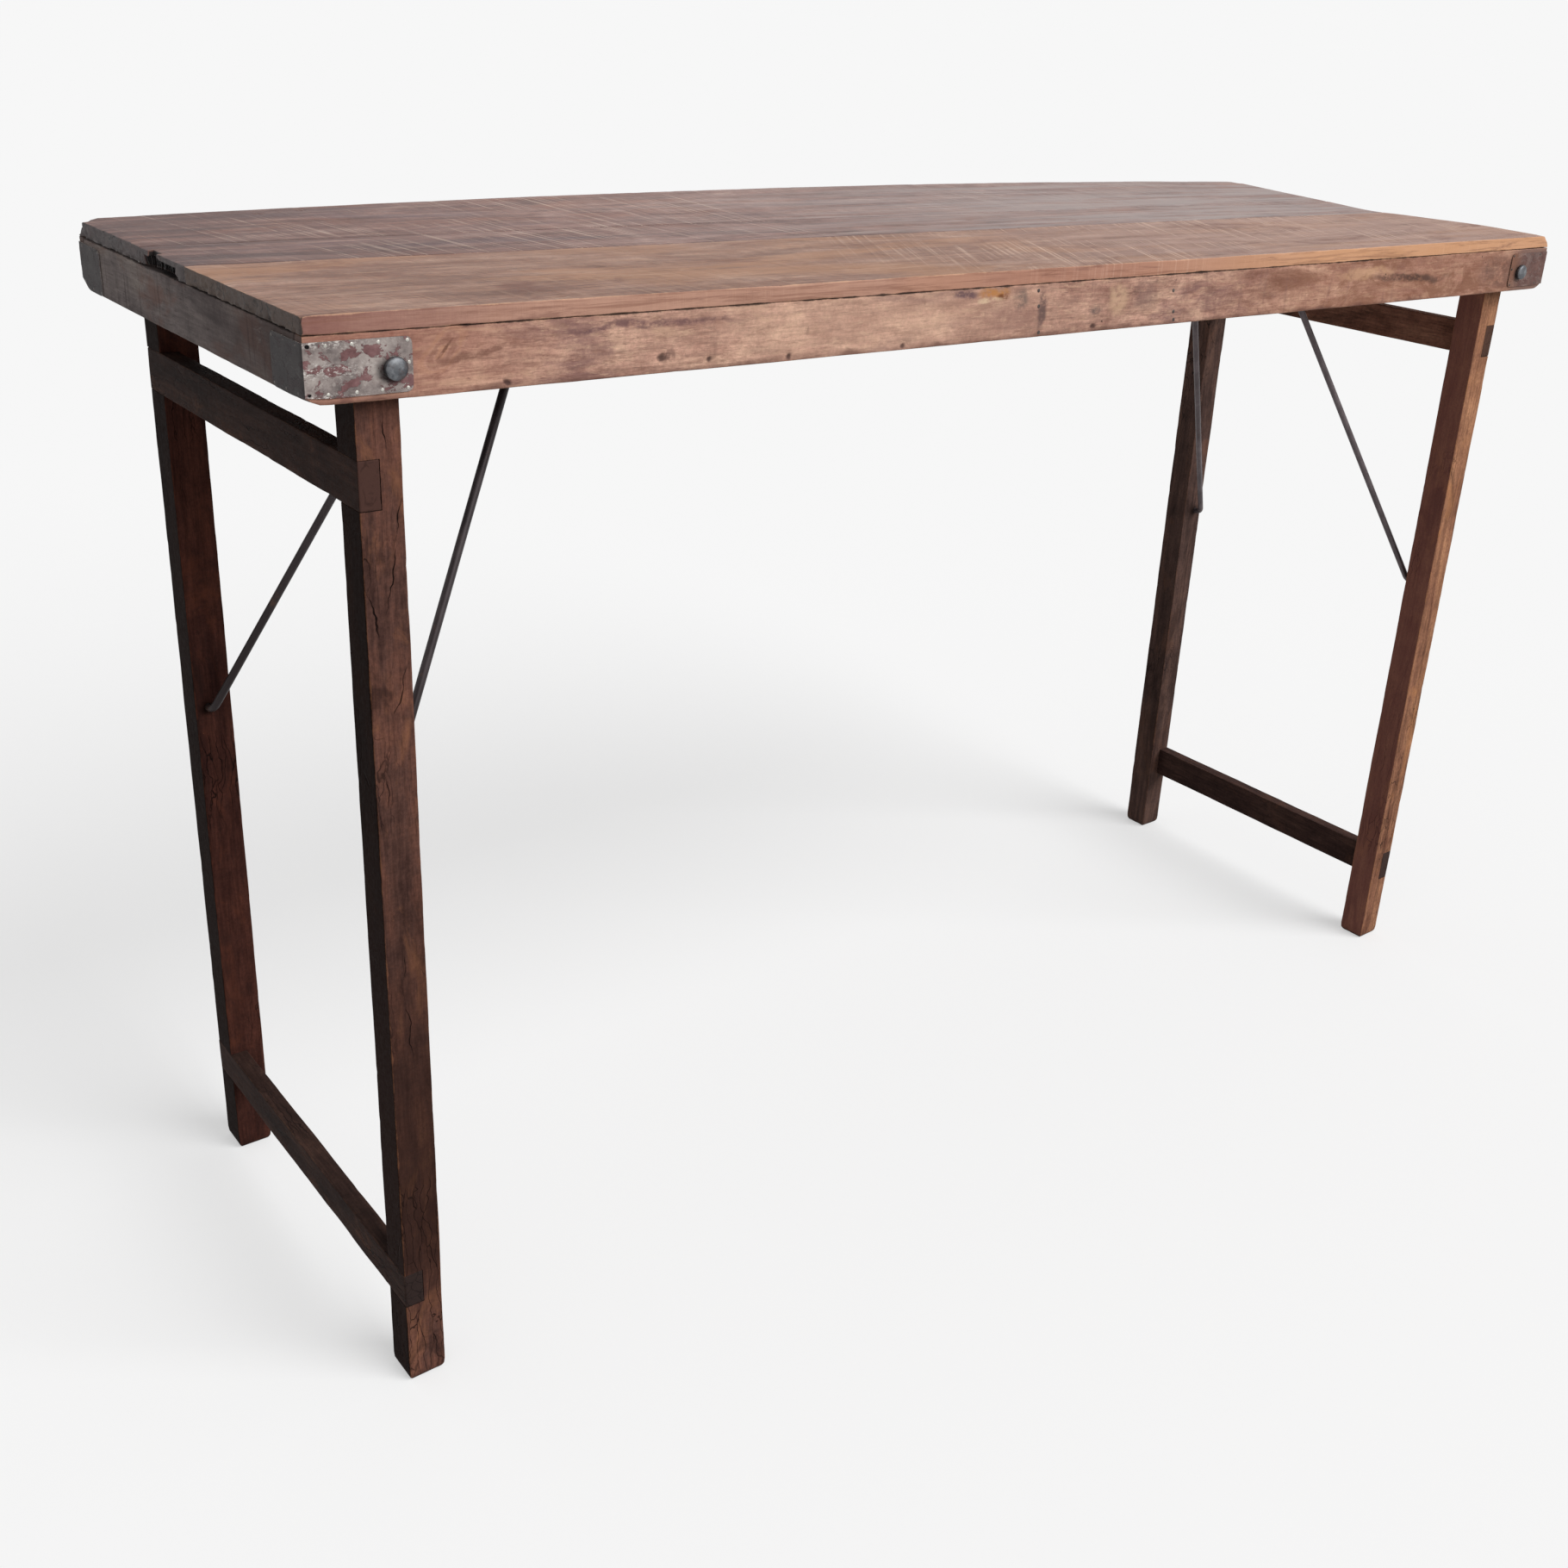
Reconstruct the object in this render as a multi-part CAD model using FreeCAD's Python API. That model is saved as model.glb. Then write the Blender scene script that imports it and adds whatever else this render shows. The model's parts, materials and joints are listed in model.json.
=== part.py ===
"""Folding table: plank top on a box apron, two hinged leg frames and two bent-rod stays.

Millimetres. X runs along the table, Y from front to back, Z up from the floor.
"""
import FreeCAD, Part
import math
import os

Vector = FreeCAD.Vector

# Table top: three planks, with the places of their seams from the middle line; the front seam slants
table_length = 1230.0
table_width = 386.0
table_height = 762.0
plank_thickness = 11.0
front_seam_left_y = -16.6
front_seam_right_y = -7.6
rear_seam_y = 64.6
plank_seam = 0.8
plank_edge = 1.6
plank_corner_radius = 7.0

# Warp of the two rear planks: rise of the back edge at the left end, mid-length and right end,
# and the share of that rise at the seam between them
left_end_lift = 0.4
middle_lift = 11.0
right_end_lift = 6.5
seam_lift_share = 0.2
warp_stations = 5

# Rotted pocket in the left end of the middle plank, under a thin roof
rot_width = 50.0
rot_depth = 9.0
rot_roof = 3.5

# Apron boards
apron_height = 38.5
apron_thickness = 10.0
apron_edge_radius = 2.5

# Cross battens under the planks
batten_width = 44.0
batten_thickness = 12.0
left_middle_batten_x = -64.0
right_middle_batten_x = 84.0

# Sheet-metal corner plates
plate_thickness = 0.8
plate_top_margin = 3.5
plate_bottom_margin = 4.0
left_plate_reach = 63.0
right_plate_reach = 59.0
plate_end_reach = 43.0
plate_corner_radius = 4.0
plate_bend_radius = 1.6

# Leg frames: two square legs with two rails let in flush with their outer faces
leg_section = 27.5
foot_arris = 1.2
leg_head_flat = 0.5
leg_head_rise = 0.5
left_leg_inset = 32.0
right_leg_inset = 35.0
rail_thickness = 13.75
rail_arris = 0.8
upper_rail_height = 30.5
upper_rail_drop = 36.0
left_stretcher_bottom = 67.5
left_stretcher_height = 27.5
right_stretcher_bottom = 70.5
right_stretcher_height = 32.0

# Pivot bolts, which stand off the legs' middle lines, with square nuts and washers
bolt_diameter = 6.0
bolt_head_diameter = 13.5
bolt_head_height = 4.4
bolt_end = 2.5
pivot_offset = 6.5
nut_width = 10.0
nut_height = 5.0
nut_edge = 0.6
washer_diameter = 16.0
washer_thickness = 1.0

# Stays: one bent rod for each leg frame
rod_diameter = 6.0
stay_hole_drop = 323.7
stay_hole_offset = 4.0
stay_hole_depth = 16.0
stay_end_inset = 9.0
stay_top_half_width = 53.0
stay_bend_radius = 9.0
left_stay_reach = 169.0
right_stay_reach = 180.0

# Strap-iron hooks that hold the stays' cross bars
hook_thickness = 2.5
hook_width = 18.0
hook_flange = 13.0
hook_lip_length = 9.0
hook_lip_slope = 20.0

# Clearances
running_clearance = 0.06
hole_clearance = 0.08
thrust_clearance = 0.4
seat_clearance = 0.6
socket_clearance = 2.0
fold_clearance = 0.55
washer_play = 0.5
frame_play = 10.0

# Two lengths that differ by less than this are taken as the same
match_tolerance = 1e-4

# Levels and faces worked out from the sizes above
end_x = table_length / 2
side_y = table_width / 2
inside_y = side_y - apron_thickness
half_seam = plank_seam / 2
apron_top = table_height - plank_thickness
blank_top = table_height + middle_lift
apron_bottom = apron_top - apron_height
batten_bottom = apron_top - batten_thickness
bolt_radius = bolt_diameter / 2
rod_radius = rod_diameter / 2
pivot_z = apron_top - leg_section / 2 - pivot_offset - fold_clearance
leg_head_radius = (leg_section - leg_head_flat) / 2
leg_top = pivot_z + leg_head_rise + leg_head_radius
frame_half = inside_y - frame_play / 2
frame_inner_half = frame_half - leg_section
frame_shift = frame_play / 2 - washer_thickness - washer_play
upper_rail_bottom = apron_bottom - upper_rail_drop - upper_rail_height
stay_hole_z = pivot_z - stay_hole_drop
stay_end_half = frame_inner_half - stay_end_inset
cross_bar_z = batten_bottom - seat_clearance - rod_radius
stay_rise = cross_bar_z - stay_hole_z
hook_inner_radius = rod_radius + seat_clearance
hook_outer_radius = hook_inner_radius + hook_thickness


class Side:
    """One end of the table, with the places of its leg frame and stay; inward is the way to the middle."""

    def __init__(self, name, inward, inset, plate_reach, stay_reach, stretcher_bottom, stretcher_height):
        self.name = name
        self.inward = inward
        self.plate_reach = plate_reach
        self.rail_levels = [(upper_rail_bottom, upper_rail_height), (stretcher_bottom, stretcher_height)]
        self.centre_y = -inward * frame_shift
        self.end_x = -inward * end_x
        self.leg_outer_x = self.end_x + inward * inset
        self.leg_inner_x = self.leg_outer_x + inward * leg_section
        self.rail_inner_x = self.leg_outer_x + inward * rail_thickness
        self.leg_x = (self.leg_outer_x + self.leg_inner_x) / 2
        self.pivot_x = self.leg_x + pivot_offset
        self.hole_x = self.leg_x - inward * stay_hole_offset
        self.cross_bar_x = self.hole_x + inward * stay_reach


left = Side("left", 1, left_leg_inset, left_plate_reach, left_stay_reach,
            left_stretcher_bottom, left_stretcher_height)
right = Side("right", -1, right_leg_inset, right_plate_reach, right_stay_reach,
             right_stretcher_bottom, right_stretcher_height)
sides = [left, right]
faces = [("front", -1), ("back", 1)]


def block(x, y, z):
    """Box between two values on each axis, in either order."""
    corner = Vector(min(x), min(y), min(z))
    return Part.makeBox(abs(x[1] - x[0]), abs(y[1] - y[0]), abs(z[1] - z[0]), corner)


def rod_along_y(radius, x, y, z):
    """Round rod, or the tool for a bore, from y[0] to y[1]."""
    return Part.makeCylinder(radius, abs(y[1] - y[0]), Vector(x, min(y), z), Vector(0, 1, 0))


def same(value, target):
    return abs(value - target) < match_tolerance


def at_height(z):
    """Test for an edge that lies flat at one height."""
    return lambda edge: same(edge.BoundBox.ZMin, z) and same(edge.BoundBox.ZMax, z)


def rounded(shape, radius, picks):
    """Fillet the edges that the test picks out."""
    return shape.makeFillet(radius, [edge for edge in shape.Edges if picks(edge)])


def eased(shape, width, picks):
    """Take a small flat off the edges that the test picks out."""
    return shape.makeChamfer(width, [edge for edge in shape.Edges if picks(edge)])


def bend_at(before, corner, after, radius):
    """Start, crown and end of the arc that rounds one corner of a path."""
    back = (before - corner).normalize()
    ahead = (after - corner).normalize()
    half_angle = back.getAngle(ahead) / 2
    setback = radius / math.tan(half_angle)
    crown = corner + (back + ahead).normalize() * (radius / math.sin(half_angle) - radius)
    return corner + back * setback, crown, corner + ahead * setback


def rod_along(path, diameter):
    """Round rod swept along a wire, mitred where the wire turns sharply."""
    first = path.Edges[0]
    start = first.valueAt(first.FirstParameter)
    direction = first.tangentAt(first.FirstParameter)
    circle = Part.Wire(Part.makeCircle(diameter / 2, start, direction))
    mitred_corners = 1
    return path.makePipeShell([circle], True, False, mitred_corners)


def front_seam(x):
    """Middle of the seam behind the front plank."""
    along = (x + end_x) / table_length
    return front_seam_left_y + (front_seam_right_y - front_seam_left_y) * along


def edge_lift(x):
    """Rise of the rear plank's back edge: a smooth bow through its two ends and its middle."""
    along = x / end_x
    slope = (right_end_lift - left_end_lift) / 2
    curve = (left_end_lift + right_end_lift) / 2 - middle_lift
    return middle_lift + slope * along + curve * along ** 2


def warp_places():
    """Places along the table of the sections that carry the warp."""
    return [-end_x + table_length * station / (warp_stations - 1) for station in range(warp_stations)]


def warped_plank(front_edge, back_y, front_share, back_share):
    """Plank whose two long edges rise by their shares of the bow, lofted through sections."""
    sections = []
    for x in warp_places():
        front_y = front_edge(x)
        low_front = apron_top + front_share * edge_lift(x)
        low_back = apron_top + back_share * edge_lift(x)
        high_front = low_front + plank_thickness
        high_back = low_back + plank_thickness
        worn_y = back_y - plank_edge
        worn_z = high_back - plank_edge
        outline = [(front_y, low_front), (back_y, low_back), (back_y, worn_z),
                   (worn_y, high_back), (front_y, high_front), (front_y, low_front)]
        sections.append(Part.makePolygon([Vector(x, y, z) for y, z in outline]))
    return Part.makeLoft(sections, True, False)


def make_front_plank():
    """Widest plank, with worn front corners and top edges."""
    corners = [(-end_x, -side_y), (end_x, -side_y),
               (end_x, front_seam(end_x) - half_seam), (-end_x, front_seam(-end_x) - half_seam)]
    outline = Part.makePolygon([Vector(x, y, apron_top) for x, y in corners + corners[:1]])
    plank = Part.Face(outline).extrude(Vector(0, 0, plank_thickness))
    plank = rounded(plank, plank_corner_radius,
                    lambda edge: same(edge.BoundBox.YMax, -side_y) and same(edge.BoundBox.XLength, 0))
    seam_middle = front_seam(0) - half_seam
    return eased(plank, plank_edge,
                 lambda edge: at_height(table_height)(edge) and not same(edge.CenterOfMass.y, seam_middle))


def make_middle_plank():
    """Narrow plank with a rotted pocket eaten into its left end from below."""
    plank = warped_plank(lambda x: front_seam(x) + half_seam, rear_seam_y - half_seam, 0, seam_lift_share)
    centre = Vector(-end_x, (front_seam(-end_x) + rear_seam_y) / 2, apron_top)
    rim = Part.Ellipse(centre + Vector(0, rot_width / 2, 0), centre + Vector(rot_depth, 0, 0), centre)
    pocket = Part.Face(Part.Wire(rim.toShape())).extrude(Vector(0, 0, plank_thickness - rot_roof))
    return plank.cut(pocket)


def make_rear_plank():
    """Plank that bows up along its back edge."""
    return warped_plank(lambda x: rear_seam_y + half_seam, side_y, seam_lift_share, 1)


def fitted_under_planks(board):
    """Board whose top was left too high, cut down to the planks' undersides."""
    roof_z = blank_top + plank_thickness
    sections = []
    for x in warp_places():
        back_z = apron_top + edge_lift(x)
        seam_z = apron_top + seam_lift_share * edge_lift(x)
        outline = [(-side_y, apron_top), (front_seam(x) + half_seam, apron_top),
                   (rear_seam_y - half_seam, seam_z), (rear_seam_y + half_seam, seam_z),
                   (side_y, back_z), (side_y, roof_z), (-side_y, roof_z), (-side_y, apron_top)]
        sections.append(Part.makePolygon([Vector(x, y, z) for y, z in outline]))
    return board.cut(Part.makeLoft(sections, True, False))


def make_side_apron(facing):
    """Long apron board, bored for the two pivot bolts on its side."""
    outer_y = facing * side_y
    inner_y = facing * inside_y
    board = block((-end_x, end_x), (outer_y, inner_y), (apron_bottom, blank_top))
    board = rounded(board, apron_edge_radius,
                    lambda edge: at_height(apron_bottom)(edge) and not same(edge.CenterOfMass.y, inner_y))
    board = fitted_under_planks(board)
    for side in sides:
        bore = rod_along_y(bolt_radius + hole_clearance, side.pivot_x, (outer_y, inner_y), pivot_z)
        board = board.cut(bore)
    return board


def make_end_apron(side):
    """Short apron board between the two long ones, flush with their ends."""
    inner_x = side.end_x + side.inward * apron_thickness
    board = block((side.end_x, inner_x), (-inside_y, inside_y), (apron_bottom, blank_top))
    board = rounded(board, apron_edge_radius,
                    lambda edge: at_height(apron_bottom)(edge) and same(edge.CenterOfMass.x, side.end_x))
    return fitted_under_planks(board)


def make_batten(centre_x):
    """Cross batten between the long aprons, fitted to the planks above it."""
    across = (centre_x - batten_width / 2, centre_x + batten_width / 2)
    return fitted_under_planks(block(across, (-inside_y, inside_y), (batten_bottom, blank_top)))


def make_keeper_hook(side):
    """Bent strap: a flange under the batten, a bend under the cross bar and an open, sloping lip."""
    near_y = side.centre_y - hook_width / 2
    slope = math.radians(hook_lip_slope)
    half_turn = (math.pi / 2 - slope) / 2
    lip = Vector(side.inward * math.cos(slope), 0, -math.sin(slope)) * hook_lip_length

    def around_bar(radius, angle):
        out = radius * math.cos(angle)
        down = radius * math.sin(angle)
        return Vector(side.cross_bar_x - side.inward * out, near_y, cross_bar_z - down)

    def beside_bar(out, z):
        return Vector(side.cross_bar_x - side.inward * out, near_y, z)

    flange_end = hook_outer_radius + hook_flange
    flange_bottom = batten_bottom - hook_thickness
    inner_start, inner_end = around_bar(hook_inner_radius, 0), around_bar(hook_inner_radius, 2 * half_turn)
    outer_start, outer_end = around_bar(hook_outer_radius, 0), around_bar(hook_outer_radius, 2 * half_turn)
    shank = [inner_start, beside_bar(hook_inner_radius, batten_bottom),
             beside_bar(flange_end, batten_bottom), beside_bar(flange_end, flange_bottom),
             beside_bar(hook_outer_radius, flange_bottom), outer_start]
    outline = Part.Wire([
        *Part.makePolygon(shank).Edges,
        Part.Arc(outer_start, around_bar(hook_outer_radius, half_turn), outer_end).toShape(),
        *Part.makePolygon([outer_end, outer_end + lip, inner_end + lip, inner_end]).Edges,
        Part.Arc(inner_end, around_bar(hook_inner_radius, half_turn), inner_start).toShape(),
    ])
    return Part.Face(outline).extrude(Vector(0, hook_width, 0))


def make_corner_plate(side, facing):
    """Sheet folded round one corner of the apron, with a hole for the pivot bolt."""
    out_x = side.end_x - side.inward * plate_thickness
    out_y = facing * (side_y + plate_thickness)
    reach_x = side.end_x + side.inward * side.plate_reach
    reach_y = facing * (side_y - plate_end_reach)
    heights = (apron_bottom + plate_bottom_margin, apron_top - plate_top_margin)
    sheet = block((out_x, reach_x), (out_y, reach_y), heights)
    sheet = rounded(sheet, plate_bend_radius,
                    lambda edge: same(edge.CenterOfMass.x, out_x) and same(edge.CenterOfMass.y, out_y))
    sheet = sheet.cut(block((side.end_x, reach_x), (facing * side_y, reach_y), heights))

    def free_corner(edge):
        across = edge.BoundBox.XLength + edge.BoundBox.YLength
        level = same(edge.BoundBox.ZLength, 0) and same(across, plate_thickness)
        return level and (same(edge.CenterOfMass.x, reach_x) or same(edge.CenterOfMass.y, reach_y))

    sheet = rounded(sheet, plate_corner_radius, free_corner)
    hole_y = (facing * side_y, out_y)
    return sheet.cut(rod_along_y(bolt_radius + hole_clearance, side.pivot_x, hole_y, pivot_z))


def leg_face_y(side, facing):
    """Outer and inner side faces of one leg."""
    return side.centre_y + facing * frame_half, side.centre_y + facing * frame_inner_half


def make_leg(side, facing):
    """Square leg with a round head, housings for two rails, and bores for the bolt and the stay's end."""
    outer_y, inner_y = leg_face_y(side, facing)
    leg = block((side.leg_outer_x, side.leg_inner_x), (outer_y, inner_y), (0, leg_top))
    leg = rounded(leg, leg_head_radius,
                  lambda edge: at_height(leg_top)(edge) and same(edge.BoundBox.XLength, 0))
    leg = eased(leg, foot_arris, at_height(0))
    for rail_bottom, rail_height in side.rail_levels:
        housing = block((side.leg_outer_x, side.rail_inner_x), (outer_y, inner_y),
                        (rail_bottom, rail_bottom + rail_height))
        leg = leg.cut(housing)
    leg = leg.cut(rod_along_y(bolt_radius + running_clearance, side.pivot_x, (outer_y, inner_y), pivot_z))
    socket_y = (inner_y, inner_y + facing * stay_hole_depth)
    return leg.cut(rod_along_y(rod_radius + running_clearance, side.hole_x, socket_y, stay_hole_z))


def make_rail(side, level):
    """Rail across both legs, let in flush with their outer faces and ends."""
    bottom, height = level
    across = (side.centre_y - frame_half, side.centre_y + frame_half)
    rail = block((side.leg_outer_x, side.rail_inner_x), across, (bottom, bottom + height))
    return eased(rail, rail_arris, lambda edge: edge.BoundBox.YLength > frame_half)


def inner_washer_faces(side, facing):
    near = leg_face_y(side, facing)[1] - facing * thrust_clearance
    return near, near - facing * washer_thickness


def nut_faces(side, facing):
    near = inner_washer_faces(side, facing)[1]
    return near, near - facing * nut_height


def make_pivot_bolt(side, facing):
    """Dome-headed bolt through plate, apron and leg, ending just past its nut."""
    seat_y = facing * (side_y + plate_thickness)
    tip_y = nut_faces(side, facing)[1] - facing * bolt_end
    shank = rod_along_y(bolt_radius, side.pivot_x, (seat_y, tip_y), pivot_z)
    rim = bolt_head_diameter / 2
    dome_radius = (rim ** 2 + bolt_head_height ** 2) / (2 * bolt_head_height)
    half_turn = math.asin(rim / dome_radius) / 2
    seat = Vector(side.pivot_x, seat_y, pivot_z)

    def on_dome(angle):
        out = dome_radius * math.cos(angle) - dome_radius + bolt_head_height
        return seat + Vector(dome_radius * math.sin(angle), facing * out, 0)

    crown = on_dome(0)
    edge_point = on_dome(2 * half_turn)
    outline = Part.Wire([
        Part.Arc(crown, on_dome(half_turn), edge_point).toShape(),
        Part.LineSegment(edge_point, seat).toShape(),
        Part.LineSegment(seat, crown).toShape(),
    ])
    head = Part.Face(outline).revolve(seat, Vector(0, 1, 0), 360)
    return head.fuse(shank).removeSplitter()


def make_washer(side, span):
    ring = rod_along_y(washer_diameter / 2, side.pivot_x, span, pivot_z)
    return ring.cut(rod_along_y(bolt_radius + hole_clearance, side.pivot_x, span, pivot_z))


def make_apron_washer(side):
    """Washer between the apron and the leg, on the side where the leg frame runs close to the apron."""
    facing = -side.inward
    apron_y = facing * inside_y
    return make_washer(side, (apron_y, apron_y - facing * washer_thickness))


def make_nut(side, facing):
    """Square nut with its outer edges eased."""
    near, far = nut_faces(side, facing)
    half = nut_width / 2
    across = (side.pivot_x - half, side.pivot_x + half)
    nut = block(across, (near, far), (pivot_z - half, pivot_z + half))
    nut = eased(nut, nut_edge, lambda edge: same(edge.BoundBox.YMin, far) and same(edge.BoundBox.YMax, far))
    return nut.cut(rod_along_y(bolt_radius + hole_clearance, side.pivot_x, (near, far), pivot_z))


def make_stay(side):
    """Rod bent to a tapered U: ends turned out into the legs, arms that close in, and a cross bar."""
    run = side.cross_bar_x - side.hole_x

    def place(across, up):
        return Vector(side.hole_x + run * up, side.centre_y + across, stay_hole_z + stay_rise * up)

    tip_half = frame_inner_half + stay_hole_depth - socket_clearance

    def arm(hand):
        top = place(hand * stay_top_half_width, 1)
        tip = place(hand * tip_half, 0)
        start, crown, end = bend_at(top, place(hand * stay_end_half, 0), tip, stay_bend_radius)
        return [Part.LineSegment(top, start).toShape(), Part.Arc(start, crown, end).toShape(),
                Part.LineSegment(end, tip).toShape()]

    bar = Part.LineSegment(place(-stay_top_half_width, 1), place(stay_top_half_width, 1)).toShape()
    path = Part.Wire(Part.sortEdges(arm(-1) + [bar] + arm(1))[0])
    return rod_along(path, rod_diameter)


def make_nodes():
    nodes = {
        "front_plank": make_front_plank(),
        "middle_plank": make_middle_plank(),
        "rear_plank": make_rear_plank(),
        "left_middle_batten": make_batten(left_middle_batten_x),
        "right_middle_batten": make_batten(right_middle_batten_x),
    }
    group_names = ["pivot_bolts", "leg_washers", "apron_washers", "pivot_nuts", "keeper_hooks"]
    groups = {name: [] for name in group_names}
    for face, facing in faces:
        nodes[face + "_apron"] = make_side_apron(facing)
        for side in sides:
            corner = face + "_" + side.name
            nodes[corner + "_corner_plate"] = make_corner_plate(side, facing)
            nodes[corner + "_leg"] = make_leg(side, facing)
            groups["pivot_bolts"].append(make_pivot_bolt(side, facing))
            groups["leg_washers"].append(make_washer(side, inner_washer_faces(side, facing)))
            groups["pivot_nuts"].append(make_nut(side, facing))
    for side in sides:
        upper, lower = side.rail_levels
        nodes[side.name + "_end_apron"] = make_end_apron(side)
        nodes[side.name + "_keeper_batten"] = make_batten(side.cross_bar_x)
        nodes[side.name + "_upper_rail"] = make_rail(side, upper)
        nodes[side.name + "_stretcher"] = make_rail(side, lower)
        nodes[side.name + "_stay"] = make_stay(side)
        groups["apron_washers"].append(make_apron_washer(side))
        groups["keeper_hooks"].append(make_keeper_hook(side))
    for name, solids in groups.items():
        nodes[name] = Part.makeCompound(solids)
    return nodes


def main():
    os.makedirs("parts", exist_ok=True)
    for name, shape in make_nodes().items():
        shape.exportStep("parts/" + name + ".step")
    for side in sides:
        print(side.name, "leg pivot", side.pivot_x, pivot_z, "stay pivot", side.hole_x, stay_hole_z,
              "cross bar", side.cross_bar_x, cross_bar_z)


main()
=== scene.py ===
"""Looks of the folding table: worn boards, iron stays, flaking corner plates, light and camera.

Metres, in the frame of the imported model: X along the table, Y from front to back, Z up from the floor.
Colours are display values from 0 to 255. Scales of noise are waves in a metre, for all axes or for each.
"""
import json
import math

import bpy
import numpy as np
from mathutils import Matrix, Vector, noise


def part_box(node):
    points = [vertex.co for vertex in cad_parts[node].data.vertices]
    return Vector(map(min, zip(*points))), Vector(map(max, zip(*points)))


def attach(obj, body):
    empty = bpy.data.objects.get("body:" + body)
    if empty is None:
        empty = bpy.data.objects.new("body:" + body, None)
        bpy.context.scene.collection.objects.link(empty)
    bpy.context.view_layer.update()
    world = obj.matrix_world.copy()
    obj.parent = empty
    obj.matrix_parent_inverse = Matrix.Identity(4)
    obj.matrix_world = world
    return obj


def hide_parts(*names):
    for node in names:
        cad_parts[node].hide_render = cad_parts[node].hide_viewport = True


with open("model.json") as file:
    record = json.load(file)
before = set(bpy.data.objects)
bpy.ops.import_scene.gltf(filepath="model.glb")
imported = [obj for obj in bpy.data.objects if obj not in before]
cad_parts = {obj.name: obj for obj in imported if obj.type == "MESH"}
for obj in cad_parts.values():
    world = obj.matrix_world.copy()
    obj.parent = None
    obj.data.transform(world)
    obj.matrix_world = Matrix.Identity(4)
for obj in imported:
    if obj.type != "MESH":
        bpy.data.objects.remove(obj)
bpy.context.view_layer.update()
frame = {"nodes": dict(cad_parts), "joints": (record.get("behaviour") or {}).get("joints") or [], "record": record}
mm = 0.001

# What the frame says of its nodes and joints
record = frame["record"]
body_of = {node: body for body, members in record["behaviour"]["bodies"].items() for node in members}
joint_at = {joint["name"]: Vector(joint["pos_m"]) for joint in frame["joints"]}

# The way inward from each end of the table, and the way outward at each long side
sides = {"left": 1, "right": -1}
faces = {"front": -1, "back": 1}
table_corners = ["front_left", "front_right", "back_left", "back_right"]

# Faces of the table top
table_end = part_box("front_plank")[1].x
table_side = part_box("back_apron")[1].y
table_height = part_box("front_plank")[1].z
apron_low, apron_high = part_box("front_apron")
apron_top = apron_high.z
apron_thickness = apron_high.y - apron_low.y
plank_thickness = table_height - apron_top

# Wear that both shapes and materials show: pits in the front apron, in mm, and the rotted plank end
apron_pits = [(-493, 716), (-388, 721), (-350, 719), (-289, 715.5), (-190, 716), (-5, 716)]
rot_middle = 26 * mm
rot_half_width = 27 * mm

# Camera of the photograph
camera_place = Vector((-0.9707, -1.0985, 0.9378))
camera_forward = Vector((0.59806, 0.70062, -0.38917))
camera_roll = math.radians(-3.675)
image_size = 1820
focal_pixels = 2001.7
principal_pixel = (1012.1, 838.7)
sensor_width = 36.0

# Light: one soft lamp from the right, front and above, a weak even fill, and a white surround
key_direction = Vector((0.33, -0.70, 0.63))
key_strength = 2.6
key_angle = math.radians(45)
fill_strength = 0.36
surround = 0.93
floor_bounce = 0.35
floor_glow = 0.5
floor_reach = 60.0


# Meshes

# Grid lines lie close together beside the arrises of a block, at these distances from them
arris_lines = np.array([0, 0.35, 0.8, 1.4, 2.3, 3.6]) * mm
least_line_gap = 0.06 * mm
least_radius = 0.2 * mm
wear_scale = 22
chip_scale = 75
dent_scale = 11
least_facing = 0.7
smooth_angle = math.radians(48)
bend_step = 0.2 * mm
seed_stride = 7.31
tiny = 1e-9


def grid_lines(low, high, step, extra=()):
    """Lines of one axis of a block: close at both arrises, even between, with extra ones where named."""
    near = arris_lines[arris_lines <= 0.45 * (high - low)]
    margin = near[-1]
    count = max(1, round((high - low - 2 * margin) / step))
    inner = np.linspace(low + margin, high - margin, count + 1)
    lines = np.sort(np.concatenate([low + near[:-1], inner, high - near[:-1], extra]))
    apart = np.concatenate([[True], np.diff(lines) > least_line_gap])
    return lines[apart]


def block_mesh(lines, empty=None):
    """Surface of a block of cells between grid lines, without the cells that the test empties."""
    counts = [len(line) for line in lines]
    solid = np.ones([count - 1 for count in counts], bool)
    if empty is not None:
        middles = [(line[1:] + line[:-1]) / 2 for line in lines]
        solid &= ~empty(*np.meshgrid(*middles, indexing="ij"))
    around = np.pad(solid, 1)
    index = np.arange(np.prod(counts)).reshape(counts)
    quads = []
    for axis in range(3):
        across, along = (axis + 1) % 3, (axis + 2) % 3
        for end in (0, 1):
            beyond = np.roll(around, 1 - 2 * end, axis)[1:-1, 1:-1, 1:-1]
            cells = np.argwhere(solid & ~beyond)
            loop = [(0, 0), (1, 0), (1, 1), (0, 1)]
            if end == 0:
                loop.reverse()
            corners = []
            for step_across, step_along in loop:
                corner = cells.copy()
                corner[:, axis] += end
                corner[:, across] += step_across
                corner[:, along] += step_along
                corners.append(index[tuple(corner.T)])
            quads.append(np.stack(corners, 1))
    used, quads = np.unique(np.concatenate(quads), return_inverse=True)
    points = np.stack(np.meshgrid(*lines, indexing="ij"), -1).reshape(-1, 3)
    return points[used], quads.reshape(-1, 4)


def rough(points, scale, seed, octaves=3):
    """Smooth noise from about -1 to 1 at each point."""
    places = np.asarray(points) * scale + seed * seed_stride
    return np.array([noise.fractal(Vector(place), 1.0, 2.0, octaves) for place in places])


def soften(points, low, high, radius):
    """Points moved onto rounded arrises, and the way out of the block at each."""
    radius = radius[:, None]
    core = np.clip(points, low + radius, high - radius)
    out = points - core
    reach = np.maximum(np.linalg.norm(out, axis=1, keepdims=True), tiny)
    return core + out * np.minimum(1, radius / reach), out / reach


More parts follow.
